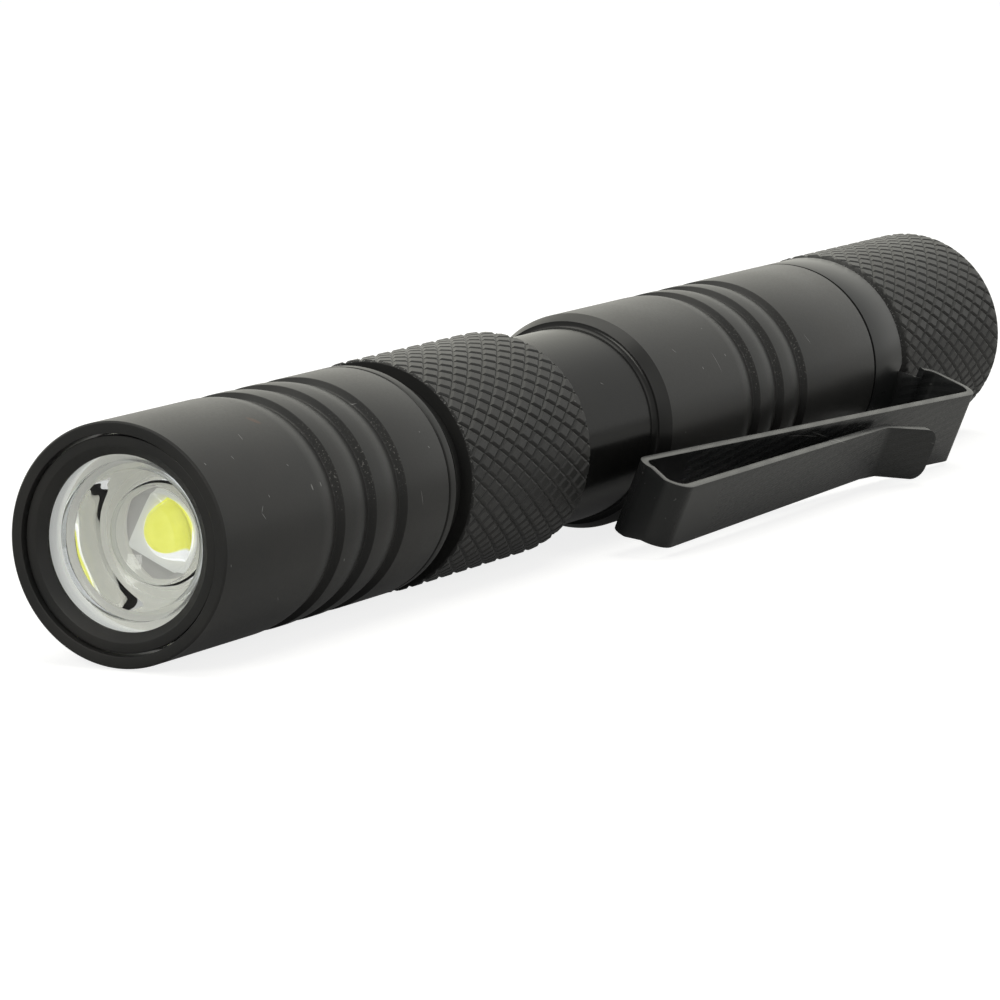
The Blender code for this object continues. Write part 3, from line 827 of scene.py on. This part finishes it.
# the switch: boot, lock ring, board and spring
switch = lengths(
    button=4.3,
    skin=0.9,
    flangeHeight=0.8,
    crown=0.7,
    dish=0.12,
    lockBore=5.6,
    slotWidth=1.2,
    slotDepth=0.7,
    pad=4.3,
    padHeight=0.05,
    soft=0.1,
    skinSoft=0.2,
    lockSoft=0.08,
    lockRimSoft=0.12,
) | {"dishSteps": 8}
bootFront, bootBack, bootRadius = nodeSpan("switch_boot")
hollow = switch["button"] - switch["skin"]
flangeBack = bootFront + switch["flangeHeight"]
bootCorners = [
    (bootBack - switch["skin"], 0),
    (bootBack - switch["skin"], hollow, switch["skinSoft"]),
    (bootFront, hollow),
    (bootFront, bootRadius, switch["soft"]),
    (flangeBack, bootRadius, switch["soft"]),
    (flangeBack, switch["button"], switch["soft"]),
    (bootBack, switch["button"], switch["crown"]),
]
for step in range(1, switch["dishSteps"] + 1):
    inward = step / switch["dishSteps"]
    radius = (switch["button"] - switch["crown"]) * (1 - inward)
    bootCorners.append((bootBack - switch["dish"] * math.sin(math.pi / 2 * inward) ** 2, radius))
bootCorners[-1] = (bootBack - switch["dish"], 0)
buttonBoot = lathe("buttonBoot", bootCorners, steps=128, rounding=8)

lockFront, lockBack, lockRadius = nodeSpan("switch_lock_ring")
lockCorners = [
    (lockFront, switch["lockBore"], switch["lockSoft"]),
    (lockFront, lockRadius, switch["lockRimSoft"]),
    (lockBack, lockRadius),
    (lockBack, switch["lockBore"]),
]
lockRing = lathe("lockRing", lockCorners, steps=128)
deselect()
bpy.ops.mesh.primitive_cube_add(size=1, location=(rimX + lockFront, axisY, axisZ))
slotCutter = bpy.context.object
slotCutter.scale = (2 * switch["slotDepth"], 3 * lockRadius, switch["slotWidth"])
bpy.ops.object.transform_apply()
slots = lockRing.modifiers.new("slots", "BOOLEAN")
slots.operation = "DIFFERENCE"
slots.object = slotCutter
applyAll(lockRing)
bpy.data.objects.remove(slotCutter)
shade(lockRing)

boardFront, boardBack, boardRadius = nodeSpan("switch_board")
boardCorners = [
    (boardFront, 0),
    (boardFront, switch["pad"]),
    (boardFront + switch["padHeight"], switch["pad"]),
    (boardFront + switch["padHeight"], boardRadius),
    (boardBack, boardRadius),
    (boardBack, 0),
]
switchBoard = lathe("switchBoard", boardCorners, steps=96)

spring = lengths(
    wire=0.25,
    wide=3.7,
    narrow=2.5,
) | {"turns": 3.25, "pointsPerTurn": 28}
springFront, springBack = nodeSpan("tail_spring")[:2]
springCurve = bpy.data.curves.new("cellSpring", "CURVE")
springCurve.dimensions = "3D"
springCurve.bevel_depth = spring["wire"]
springCurve.bevel_resolution = 4
springCurve.use_fill_caps = True
springLine = springCurve.splines.new("POLY")
springPoints = round(spring["turns"] * spring["pointsPerTurn"])
springLine.points.add(springPoints)
for number, point in enumerate(springLine.points):
    along = number / springPoints
    angle = 2 * math.pi * spring["turns"] * along
    radius = spring["narrow"] + (spring["wide"] - spring["narrow"]) * along
    climb = spring["wire"] + (springBack - springFront - 2 * spring["wire"]) * along
    point.co = (
        rimX + springFront + climb,
        axisY + radius * math.sin(angle),
        axisZ - radius * math.cos(angle),
        1,
    )
cellSpring = bpy.data.objects.new("cellSpring", springCurve)
bpy.context.scene.collection.objects.link(cellSpring)
choose(cellSpring)
bpy.ops.object.convert(target="MESH")
edit(cellSpring)
closeUp(1e-8)
shade(cellSpring, 50)

cell = lengths(
    edge=0.4,
    lip=0.12,
    plate=4.2,
    button=1.9,
    buttonHeight=0.9,
    dish=0.1,
    sleeveLip=0.25,
    plateBevel=0.1,
    plateRim=0.8,
    dishEdge=1.0,
    buttonSoft=0.2,
    plateSoft=0.04,
    bevelSoft=0.05,
    dishSoft=0.1,
)
cellFront, cellBack, cellRadius = nodeSpan("rear_cell")
shoulder = cellFront + cell["buttonHeight"]
sleeveBore = cellRadius - cell["edge"] - cell["sleeveLip"]
cellCorners = [
    (cellFront, 0),
    (cellFront, cell["button"], cell["buttonSoft"]),
    (shoulder, cell["button"]),
    (shoulder, cellRadius, cell["edge"]),
    (cellBack, cellRadius, cell["edge"]),
    (cellBack, sleeveBore, cell["plateSoft"]),
    (cellBack - cell["lip"], sleeveBore),
    (cellBack - cell["lip"], cell["plate"], cell["plateSoft"]),
    (cellBack, cell["plate"] - cell["plateBevel"], cell["bevelSoft"]),
    (cellBack, cell["plate"] - cell["plateRim"], cell["dishSoft"]),
    (cellBack - cell["dish"], cell["plate"] - cell["dishEdge"], cell["dishSoft"]),
    (cellBack - cell["dish"], 0),
]
rearCell = lathe("rearCell", cellCorners, steps=96)
print("switch, spring and cell made")


# finishes

def maths(kind, reflected=False):
    # the method that a sign such as plus or minus calls on a wire
    def result(wire, other):
        pair = {0: other, 1: wire} if reflected else {0: wire, 1: other}
        return wire.paint.node("ShaderNodeMath", {"operation": kind}, pair)
    return result


class Wire:
    # a socket of a material, so that sums on it are written as sums
    def __init__(self, paint, socket):
        self.paint = paint
        self.socket = socket

    __add__, __radd__ = maths("ADD"), maths("ADD", reflected=True)
    __sub__, __rsub__ = maths("SUBTRACT"), maths("SUBTRACT", reflected=True)
    __mul__, __rmul__ = maths("MULTIPLY"), maths("MULTIPLY", reflected=True)
    __truediv__ = maths("DIVIDE")
    __pow__ = maths("POWER")
    __gt__ = maths("GREATER_THAN")
    __lt__ = maths("LESS_THAN")


class Board:
    # a node tree, and one way to add any node to it
    def __init__(self, tree):
        self.tree = tree
        self.tree.nodes.clear()

    def node(self, kind, settings=None, sockets=None, output=0):
        node = self.tree.nodes.new(kind)
        for setting, value in (settings or {}).items():
            if setting == "stops":
                while len(node.color_ramp.elements) < len(value):
                    node.color_ramp.elements.new(1)
                for element, (place, colour) in zip(node.color_ramp.elements, value):
                    element.position = place
                    element.color = colour
            else:
                setattr(node, setting, value)
        for socket, value in (sockets or {}).items():
            if isinstance(value, Wire):
                self.tree.links.new(value.socket, node.inputs[socket])
            else:
                node.inputs[socket].default_value = value
        return Wire(self, node.outputs[output] if len(node.outputs) else None)

    def path(self, ray):
        return self.node("ShaderNodeLightPath", output=ray)


class Paint(Board):
    # a material whose patterns are centred on the light's axis, with X as the station
    def __init__(self, name):
        self.material = bpy.data.materials.new(name)
        self.material.use_nodes = True
        super().__init__(self.material.node_tree)
        whole = self.node("ShaderNodeTexCoord", output="Object")
        centre = {"Vector": whole, "Location": (-rimX, -axisY, -axisZ)}
        self.place = self.node("ShaderNodeMapping", {}, centre)
        parts = {"Vector": self.place}
        self.unrolled = None
        self.station = self.node("ShaderNodeSeparateXYZ", {}, parts, "X")
        self.across = self.node("ShaderNodeSeparateXYZ", {}, parts, "Y")
        self.up = self.node("ShaderNodeSeparateXYZ", {}, parts, "Z")

    def noise(self, scale, detail=2.0, vector=None, roughness=0.5):
        sockets = {"Scale": scale, "Detail": detail, "Roughness": roughness}
        sockets["Vector"] = vector or self.place
        return self.node("ShaderNodeTexNoise", {}, sockets)

    def stretched(self, x, y, z):
        return self.node("ShaderNodeMapping", {}, {"Vector": self.place, "Scale": (x, y, z)})

    def ramp(self, wire, low, high):
        # zero below low, one above high, evenly between
        sockets = {"Value": wire, "From Min": low, "From Max": high}
        return self.node("ShaderNodeMapRange", {}, sockets)

    def mix(self, share, first, second):
        sockets = {0: share, 6: first, 7: second}
        return self.node("ShaderNodeMix", {"data_type": "RGBA"}, sockets, 2)

    def between(self, wire, low, high):
        return (wire > low) * (wire < high)

    def radius(self):
        return (self.across * self.across + self.up * self.up) ** 0.5

    def stroke(self, startStation, startAngle, endStation, endAngle, width):
        # a soft-edged mark between two places on the unrolled side of the light
        if self.unrolled is None:
            angle = self.node(
                "ShaderNodeMath", {"operation": "ARCTAN2"}, {0: self.up, 1: 0 - self.across}
            )
            sides = {"X": self.station, "Y": angle * bodyRadius}
            self.unrolled = self.node("ShaderNodeCombineXYZ", {}, sides)
        start = Vector((startStation * mm, math.radians(startAngle) * bodyRadius, 0))
        end = Vector((endStation * mm, math.radians(endAngle) * bodyRadius, 0))
        along = end - start
        sockets = {
            "Vector": self.unrolled,
            "Location": (start + end) / 2,
            "Rotation": (0, 0, math.atan2(along.y, along.x)),
            "Scale": (along.length / 2 + width * mm / 2, width * mm / 2, 1),
        }
        local = self.node("ShaderNodeMapping", {"vector_type": "TEXTURE"}, sockets)
        reach = self.node("ShaderNodeVectorMath", {"operation": "LENGTH"}, {0: local}, "Value")
        return self.ramp(reach, 1.1, 0.7)

    def bump(self, height, distance, strength=1.0, normal=None):
        sockets = {"Height": height, "Distance": distance, "Strength": strength}
        if normal:
            sockets["Normal"] = normal
        return self.node("ShaderNodeBump", {}, sockets)

    def finish(self, sockets, shader=None):
        if shader is None:
            shader = self.node("ShaderNodeBsdfPrincipled", {}, sockets)
        self.node("ShaderNodeOutputMaterial", {}, {"Surface": shader})
        return self.material


def grey(level, warmth=0.0):
    return (level * (1 + warmth), level, level * (1 - warmth), 1)


# black anodising: the darkest tone is painted shade for the scoop walls, the knurl grooves and the
# neck, and the brightest is painted glints
anodised = {
    "dark": 0.024,
    "light": 0.031,
    "groove": 0.008,
    "paintedGlint": 0.42,
    "scratch": 0.34,
    "rust": (0.16, 0.06, 0.02, 1),
    "dust": 0.22,
    "roughness": 0.37,
    "neckSmoother": 0.16,
    "specular": 0.27,
    "cloud": 180,
    "grain": 5200,
    "turning": (9000, 40, 40),
    "glintSpecks": 6500,
    "edgeGlintScale": 7000,
    "dustSpacing": 700,
    "dustPatches": 420,
    "grainDepth": 0.006 * mm,
    "wallMargin": 0.02 * mm,
    "crestMargin": 0.03 * mm,
    "edgeWidth": 0.22 * mm,
}

# scratches and specks: station in mm and degrees above level at both ends, width in mm
headMarks = [
    (5.16, 17.2, 4.84, 14.4, 0.06),
    (4.84, 14.0, 5.17, 11.0, 0.06),
    (6.21, 21.2, 6.24, 20.4, 0.09),
    (0.62, -5.4, 0.65, -6.2, 0.08),
    (15.75, -19.5, 15.8, -20.4, 0.10),
    (1.12, 43.7, 1.15, 42.9, 0.09),
    (7.24, 54.8, 7.10, 50.8, 0.05),
    (4.42, 44.0, 4.49, 42.1, 0.05),
    (25.38, 4.5, 25.63, -3.1, 0.05),
    (11.59, 20.6, 11.62, 18.6, 0.16),
    (12.78, 20.6, 12.8, 19.2, 0.13),
    (27.6, 24.0, 27.7, 23.2, 0.07),
    (9.8, 33.0, 9.9, 32.2, 0.07),
    (8.3, -31.0, 8.6, -33.0, 0.05),
    (22.9, 60.0, 23.3, 57.0, 0.05),
]
tubeMarks = [
    (72.57, 33.8, 72.84, 21.7, 0.05),
    (74.43, 30.6, 74.48, 29.8, 0.10),
    (70.15, 26.8, 70.2, 26.0, 0.10),
    (67.2, 41.0, 67.5, 38.5, 0.05),
    (88.4, 30.0, 88.9, 24.0, 0.04),
    (56.1, 35.0, 56.4, 33.6, 0.05),
    (40.2, 31.0, 40.5, 28.0, 0.08),
]
headStain = (10.2, 62.5, 10.6, 59.0, 0.5)


def scoopWallShadeAndGlints(paint, colour, start):
    # painted shade darkens the steep walls, and painted glints on them, strongest on the side a
    # little above level, stand in for the tool's marks catching the light from above
    repeat = {0: paint.station, 1: start + scoop["pitch"], 2: start}
    within = paint.node("ShaderNodeMath", {"operation": "WRAP"}, repeat)
    wallStart = start + scoop["ramp"] - anodised["wallMargin"]
    wallEnd = start + scoop["ramp"] + scoop["wall"] + anodised["wallMargin"]
    wall = paint.between(within, wallStart, wallEnd)
    wall = wall * (paint.station > start)
    wall = wall * (paint.station < start + scoop["count"] * scoop["pitch"])
    height = paint.up / bodyRadius
    litFacing = paint.ramp(height, 0.02, 0.3) * (1 - paint.ramp(height, 0.5, 0.85))
    glintSpecks = paint.noise(anodised["glintSpecks"], 3, roughness=0.75)
    paintedGlint = paint.ramp(glintSpecks, 0.58, 0.74) * (0.04 + litFacing * 0.96)
    colour = paint.mix(wall * 0.4, colour, grey(anodised["groove"]))
    return paint.mix(wall * paintedGlint * 0.7, colour, grey(anodised["paintedGlint"], 0.03))


def knurlShadeAndGlints(paint, colour, start, end):
    # painted shade darkens the grooves below the tops of the diamonds, and painted glints brighten
    # the turned front edge, more towards the top
    band = paint.between(paint.station, start, end)
    crest = knurlTip - anodised["crestMargin"]
    top = paint.ramp(paint.radius(), knurlTip - knurl["depth"], crest)
    colour = paint.mix(band * (1 - top) * 0.9, colour, grey(anodised["groove"]))
    edge = paint.between(paint.station, start, start + anodised["edgeWidth"])
    edgeGlints = paint.ramp(paint.noise(anodised["edgeGlintScale"], 2, roughness=0.7), 0.56, 0.70)
    lit = paint.ramp(paint.up / bodyRadius, -0.6, 0.5)
    return paint.mix(edge * edgeGlints * lit * 0.5, colour, grey(anodised["paintedGlint"]))


def anodisedPaint(name, scoops=None, knurled=None, neck=None, marks=(), stain=None):
    paint = Paint(name)
    cloud = paint.noise(anodised["cloud"], 3)
    grain = paint.noise(anodised["grain"], 2)
    turning = paint.noise(1, 2, paint.stretched(*anodised["turning"]))
    patches = paint.ramp(cloud, 0.35, 0.65)
    colour = paint.mix(patches, grey(anodised["dark"], -0.01), grey(anodised["light"], 0.02))
    roughness = anodised["roughness"] + (cloud - 0.5) * 0.12 + (grain - 0.5) * 0.10
    # pale specks of dust
    spots = {"Vector": paint.place, "Scale": anodised["dustSpacing"]}
    spot = paint.node("ShaderNodeTexVoronoi", {}, spots)
    dust = (spot < 0.05) * (paint.noise(anodised["dustPatches"], 1) > 0.62)
    colour = paint.mix(dust * 0.6, colour, grey(anodised["dust"]))
    if scoops is not None:
        colour = scoopWallShadeAndGlints(paint, colour, scoops)
    if knurled is not None:
        colour = knurlShadeAndGlints(paint, colour, *knurled)
    if neck is not None:
        # the neck was turned smooth before it was anodised
        start, end = neck
        smooth = paint.between(paint.station, start, end)
        chamfer = paint.between(paint.station, start, end + tube["chamferLength"])
        roughness = roughness - (smooth * 0.7 + chamfer * 0.3) * anodised["neckSmoother"]
        # painted shade darkens the whole neck and the chamfer behind it
        colour = paint.mix(chamfer * 0.8, colour, grey(anodised["groove"]))
    for mark in marks:
        colour = paint.mix(paint.stroke(*mark) * 0.7, colour, grey(anodised["scratch"]))
    if stain is not None:
        spread = paint.stroke(*stain) * paint.ramp(cloud, 0.35, 0.6)
        colour = paint.mix(spread * 0.35, colour, anodised["rust"])
    sockets = {
        "Base Color": colour,
        "Roughness": roughness,
        "Specular IOR Level": anodised["specular"],
        "Normal": paint.bump(grain * 0.5 + turning * 0.5, anodised["grainDepth"], 0.5),
    }
    return paint.finish(sockets)


clipCoat = {
    "dark": 0.016,
    "light": 0.023,
    "scratch": 0.20,
    "roughness": 0.27,
    "ringRougher": 0.07,
    "specular": 0.42,
    "cloud": 240,
    "lines": (120, 2600, 2600),
    "grain": 4200,
    "grainDepth": 0.001 * mm,
    "banding": 480,
    "bandingLean": 9,
    "bandingDepth": 0.004 * mm,
    "bandingFrom": 59.5 * mm,
    "bandingFull": 61.5 * mm,
}

# hair scratches on the outer leaf
clipMarks = [
    (75.6, -9.6, 77.8, -10.6, 0.05),
    (77.8, -10.6, 80.6, -12.6, 0.05),
    (79.2, -10.0, 82.4, -14.0, 0.05),
    (58.9, -30.5, 59.7, -32.0, 0.05),
]


def clipPaint():
    # black coat over rolled sheet: faint leaning bands on the leaves, a plain satin ring
    paint = Paint("clipBlack")
    leaning = {"Vector": paint.place, "Rotation": (0, math.radians(clipCoat["bandingLean"]), 0)}
    rolled = paint.node("ShaderNodeMapping", {}, leaning)
    waves = {"Vector": rolled, "Scale": clipCoat["banding"], "Distortion": 0.8, "Detail": 1.0}
    pattern = {"wave_type": "BANDS", "bands_direction": "Z"}
    banding = paint.node("ShaderNodeTexWave", pattern, waves, 1)
    cloud = paint.noise(clipCoat["cloud"], 3)
    lines = paint.noise(1, 3, paint.stretched(*clipCoat["lines"]))
    scratch = paint.ramp(lines, 0.70, 0.74)
    leaf = paint.ramp(paint.radius(), bodyRadius + 0.1 * mm, bodyRadius + 0.6 * mm)
    leaves = paint.ramp(paint.station, clipCoat["bandingFrom"], clipCoat["bandingFull"])
    banding = banding * (leaf * leaves)
    mixed = paint.ramp(banding * 0.4 + cloud * 0.6, 0.2, 0.8)
    colour = paint.mix(mixed, grey(clipCoat["dark"], -0.04), grey(clipCoat["light"], -0.04))
    colour = paint.mix(scratch * leaf * 0.3, colour, grey(clipCoat["scratch"]))
    for mark in clipMarks:
        colour = paint.mix(paint.stroke(*mark) * leaf * 0.6, colour, grey(clipCoat["scratch"]))
    waviness = paint.bump(banding, clipCoat["bandingDepth"])
    grain = paint.noise(clipCoat["grain"], 3)
    roughness = clipCoat["roughness"] + (1 - leaf) * clipCoat["ringRougher"]
    sockets = {
        "Base Color": colour,
        "Roughness": roughness + (mixed - 0.5) * 0.10 - scratch * 0.06,
        "Specular IOR Level": clipCoat["specular"],
        "Normal": paint.bump(grain, clipCoat["grainDepth"], 0.3, waviness),
    }
    return paint.finish(sockets)


def rubberPaint(name, level, roughness, grainScale):
    paint = Paint(name)
    cloud = paint.noise(300, 3)
    grain = paint.noise(grainScale, 2)
    colour = paint.mix(cloud, grey(level * 0.8), grey(level * 1.3))
    return paint.finish(
        {
            "Base Color": colour,
            "Roughness": roughness + (grain - 0.5) * 0.12,
            "Specular IOR Level": 0.5,
            "Normal": paint.bump(grain, 0.01 * mm, 0.3),
        }
    )


def plainPaint(name, colour, roughness, spread, metallic, glow):
    # glow is painted light: an emission on parts that are no lamp, for the light the lens gathers
    # on to them
    paint = Paint(name)
    cloud = paint.noise(500, 3)
    low = tuple(channel * (1 - spread) for channel in colour) + (1,)
    high = tuple(min(1, channel * (1 + spread)) for channel in colour) + (1,)
    mixed = paint.mix(cloud, low, high)
    return paint.finish(
        {
            "Base Color": mixed,
            "Emission Color": mixed,
            "Emission Strength": glow,
            "Roughness": roughness + (cloud - 0.5) * 0.15,
            "Metallic": metallic,
            "Normal": paint.bump(paint.noise(3000, 2), 0.004 * mm, 0.4),
        }
    )


glass = {"tint": (0.80, 0.82, 0.83, 1), "passed": (0.95, 0.96, 0.97, 1), "index": 1.49}


def glassPaint():
    # light falls through it on to the lamp, so it casts no shadow
    paint = Paint("lensClear")
    cloud = paint.noise(260, 2)
    clear = paint.node(
        "ShaderNodeBsdfPrincipled",
        {},
        {
            "Base Color": glass["tint"],
            "Roughness": paint.ramp(cloud, 0.5, 2.5) * 0.05,
            "IOR": glass["index"],
            "Transmission Weight": 1.0,
        },
    )
    passing = paint.node("ShaderNodeBsdfTransparent", {}, {"Color": glass["passed"]})
    shadowRay = paint.path("Is Shadow Ray")
    diffuseRay = paint.path("Is Diffuse Ray")
    share = shadowRay + diffuseRay - shadowRay * diffuseRay
    mixed = paint.node("ShaderNodeMixShader", {}, {0: share, 1: clear, 2: passing})
    return paint.finish({}, mixed)


# the phosphor's rim colour is a painted reflection of the white surroundings, and its glow is
# painted light
phosphor = {
    "dark": (0.72, 0.72, 0.06, 1),
    "light": (0.88, 0.88, 0.16, 1),
    "rim": (0.95, 0.95, 0.95, 1),
    "glow": 0.80,
}


def glowPaint():
    # yellow phosphor under a dome of clear silicone; its white lower edge is a painted reflection,
    # and its glow is painted light
    paint = Paint("phosphor")
    cloud = paint.noise(900, 3)
    colour = paint.mix(cloud, phosphor["dark"], phosphor["light"])
    # a painted reflection whitens the dome outside a yellow disc set a little high
    raised = paint.up - lamp["glowLift"]
    reach = (paint.across * paint.across + raised * raised) ** 0.5
    edge = paint.ramp(reach, lamp["glow"] - 0.05 * mm, lamp["glow"] + 0.03 * mm)
    colour = paint.mix(edge, colour, phosphor["rim"])
    return paint.finish(
        {
            "Base Color": colour,
            "Roughness": 0.35,
            "Coat Weight": 1.0,
            "Coat Roughness": 0.05,
            "Emission Color": colour,
            "Emission Strength": phosphor["glow"],
        }
    )


# colour, roughness, spread of the colour, metallic share and glow, which is painted light on the
# white parts round the lamp
plainFinishes = {
    "whiteSilicone": ((0.73, 0.73, 0.70), 0.5, 0.05, 0.0, 0.62),
    "ceramic": ((0.84, 0.84, 0.81), 0.45, 0.04, 0.0, 0.32),
    "holderNylon": ((0.64, 0.63, 0.58), 0.5, 0.05, 0.0, 0.33),
    "whiteBoard": ((0.60, 0.59, 0.58), 0.4, 0.06, 0.0, 0.12),
    "greenBoard": ((0.02, 0.12, 0.05), 0.4, 0.2, 0.0, 0.0),
    "blackPlastic": ((0.03, 0.03, 0.03), 0.5, 0.2, 0.0, 0.0),
    "whitePlastic": ((0.8, 0.8, 0.78), 0.45, 0.06, 0.0, 0.0),
    "turnedBrass": ((0.72, 0.52, 0.24), 0.32, 0.1, 1.0, 0.0),
    "springSteel": ((0.66, 0.64, 0.58), 0.28, 0.12, 1.0, 0.0),
    "cellSleeve": ((0.42, 0.43, 0.46), 0.34, 0.08, 0.6, 0.0),
}
finishes = {name: plainPaint(name, *values) for name, values in plainFinishes.items()}
finishes["anodisedHead"] = anodisedPaint(
    "anodisedHead", scoops=head["scoopStart"], marks=headMarks, stain=headStain
)
finishes["anodisedTube"] = anodisedPaint(
    "anodisedTube",
    scoops=barrelStart + tube["scoopStart"],
    knurled=(gripStart, gripEnd),
    neck=(gripEnd, barrelStart + anodised["wallMargin"]),
    marks=tubeMarks,
)
finishes["anodisedBezel"] = anodisedPaint("anodisedBezel")
finishes["anodisedTail"] = anodisedPaint("anodisedTail", knurled=(tailKnurlStart, tailKnurlEnd))
finishes["clipBlack"] = clipPaint()
finishes["sealRubber"] = rubberPaint("sealRubber", 0.010, 0.22, 4000)
finishes["bootRubber"] = rubberPaint("bootRubber", 0.028, 0.62, 6000)
finishes["lensClear"] = glassPaint()
finishes["phosphor"] = glowPaint()

dressed = [
    (headShell, "head", "head_housing", "housing_black", "anodisedHead"),
    (bezelRing, "head", "retaining_ring", "housing_black", "anodisedBezel"),
    (clearLens, "head", "optic", "lens_clear", "lensClear"),
    (lampPackage, "head", "led_package", "led_ceramic", "ceramic"),
    (lampDome, "head", "led_dome", "led_yellow", "phosphor"),
    (lensHolder, "head", "optic_holder", "holder_white", "holderNylon"),
    (lensGasket, "head", "optic_gasket", "holder_white", "whiteSilicone"),
    (lampBoard, "head", "led_board", "board_white", "whiteBoard"),
    (tubeShell, "tube", "battery_tube", "housing_black", "anodisedTube"),
    (frontSeal, "tube", "head_oring", "seal_black", "sealRubber"),
    (rearSeal, "tube", "tail_oring", "seal_black", "sealRubber"),
    (rearCell, "tube", "rear_cell", "cell_sleeve", "cellSleeve"),
    (twoWayClip, "clip", "pocket_clip", "clip_black", "clipBlack"),
    (tailShell, "tail", "tail_cap", "housing_black", "anodisedTail"),
    (lockRing, "tail", "switch_lock_ring", "pill_brass", "turnedBrass"),
    (switchBoard, "tail", "switch_board", "board_green", "greenBoard"),
    (cellSpring, "tail", "tail_spring", "spring_plated", "springSteel"),
    (buttonBoot, "button", "switch_boot", "boot_black", "bootRubber"),
]
for piece, body, node, slot, finish in dressed:
    piece.data.materials.clear()
    piece.data.materials.append(finishes[finish])
    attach(piece, body)
    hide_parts(node)

# CAD nodes that stay hidden inside the light keep their shape and take their finish here
keptNodes = {
    "turnedBrass": ("led_pill", "contact_post"),
    "greenBoard": ("driver_board",),
    "blackPlastic": ("driver_inductor", "driver_chip", "contact_collar", "switch_housing"),
    "whitePlastic": ("switch_plunger",),
    "cellSleeve": ("front_cell",),
}
for finish, nodes in keptNodes.items():
    for node in nodes:
        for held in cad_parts[node].material_slots:
            held.material = finishes[finish]
print("finishes made")

# floor, lights and surroundings
studio = {
    "floorSize": 4.0,
    "floorDrop": 0.01 * mm,
    "floorSpread": 0.01,
    "floorColour": 0.45,
    "floorSeen": 0.82,
    "floorMirrored": 0.08,
    "floorPassed": 0.50,
    "surround": 0.28,
    "mirroredFront": 0.78,
    "mirroredBack": 1.25,
    "backdropSide": (0.60, 0.75, 0.28),
    "backdropFrom": 0.4,
    "backdropFull": 1.0,
    "surroundPassed": 0.62,
    "frontTint": (0.99, 0.99, 0.95, 1),
    "backTint": (1.0, 0.995, 0.90, 1),
    "lightTint": (1.0, 0.99, 0.91),
}
deselect()
bpy.ops.mesh.primitive_plane_add(size=studio["floorSize"], location=(0, 0, -studio["floorDrop"]))
studioFloor = bpy.context.object
studioFloor.name = "studioFloor"
bpy.ops.object.transform_apply()
floorPaint = Paint("paleFloor")
cloud = floorPaint.noise(40, 2)
level = floorPaint.path("Is Camera Ray") * studio["floorSeen"]
level = level + floorPaint.path("Is Glossy Ray") * studio["floorMirrored"]
level = level + floorPaint.path("Is Transmission Ray") * studio["floorPassed"]
low = grey(studio["floorColour"] * (1 - studio["floorSpread"]))
high = grey(studio["floorColour"] * (1 + studio["floorSpread"]))
cover = floorPaint.node("ShaderNodeBsdfDiffuse", {}, {"Color": floorPaint.mix(cloud, low, high)})
glow = floorPaint.node("ShaderNodeEmission", {}, {"Color": grey(1.0), "Strength": level})
both = floorPaint.node("ShaderNodeAddShader", {}, {0: cover, 1: glow})
studioFloor.data.materials.append(floorPaint.finish({}, both))

world = bpy.data.worlds.new("surroundings")
bpy.context.scene.world = world
world.use_nodes = True
sky = Board(world.node_tree)
seen = sky.path("Is Camera Ray")
passed = sky.path("Is Transmission Ray")
mirrored = sky.path("Is Glossy Ray") * (1 - passed)  # a refracted ray counts as glossy too
level = seen * (1 - studio["surround"]) + studio["surround"]
whither = sky.node("ShaderNodeTexCoord", output="Generated")
sockets = {0: whither, 1: studio["backdropSide"]}
towards = sky.node("ShaderNodeVectorMath", {"operation": "DOT_PRODUCT"}, sockets, "Value")
edges = {"From Min": studio["backdropFrom"], "From Max": studio["backdropFull"]}
smooth = {"interpolation_type": "SMOOTHSTEP"}
behind = sky.node("ShaderNodeMapRange", smooth, {"Value": towards, **edges})
spread = studio["mirroredBack"] - studio["mirroredFront"]
level = level + mirrored * (behind * spread + (studio["mirroredFront"] - studio["surround"]))
level = level + passed * (studio["surroundPassed"] - studio["surround"])
blend = {"data_type": "RGBA"}
sides = {0: behind, 6: studio["frontTint"], 7: studio["backTint"]}
tint = sky.node("ShaderNodeMix", blend, sides, 2)
tint = sky.node("ShaderNodeMix", blend, {0: seen, 6: tint, 7: grey(1.0)}, 2)
background = sky.node("ShaderNodeBackground", {}, {"Color": tint, "Strength": level})
sky.node("ShaderNodeOutputWorld", {}, {"Surface": background})

# place, size and power of each soft light
lights = {
    "topLight": ((0.08, 0.02, 0.60), 0.60, 1.8),
    "sideLight": ((0.05, -0.55, 0.30), 0.35, 0.2),
    "frontLight": ((-0.62, -0.02, 0.34), 0.25, 1.15),
}
for name, (place, size, power) in lights.items():
    data = bpy.data.lights.new(name, "AREA")
    data.shape = "SQUARE"
    data.size = size
    data.energy = power
    data.color = studio["lightTint"]
    light = bpy.data.objects.new(name, data)
    light.location = place
    light.rotation_euler = (-Vector(place)).to_track_quat("-Z", "Y").to_euler()
    bpy.context.scene.collection.objects.link(light)
print("floor and lights set")
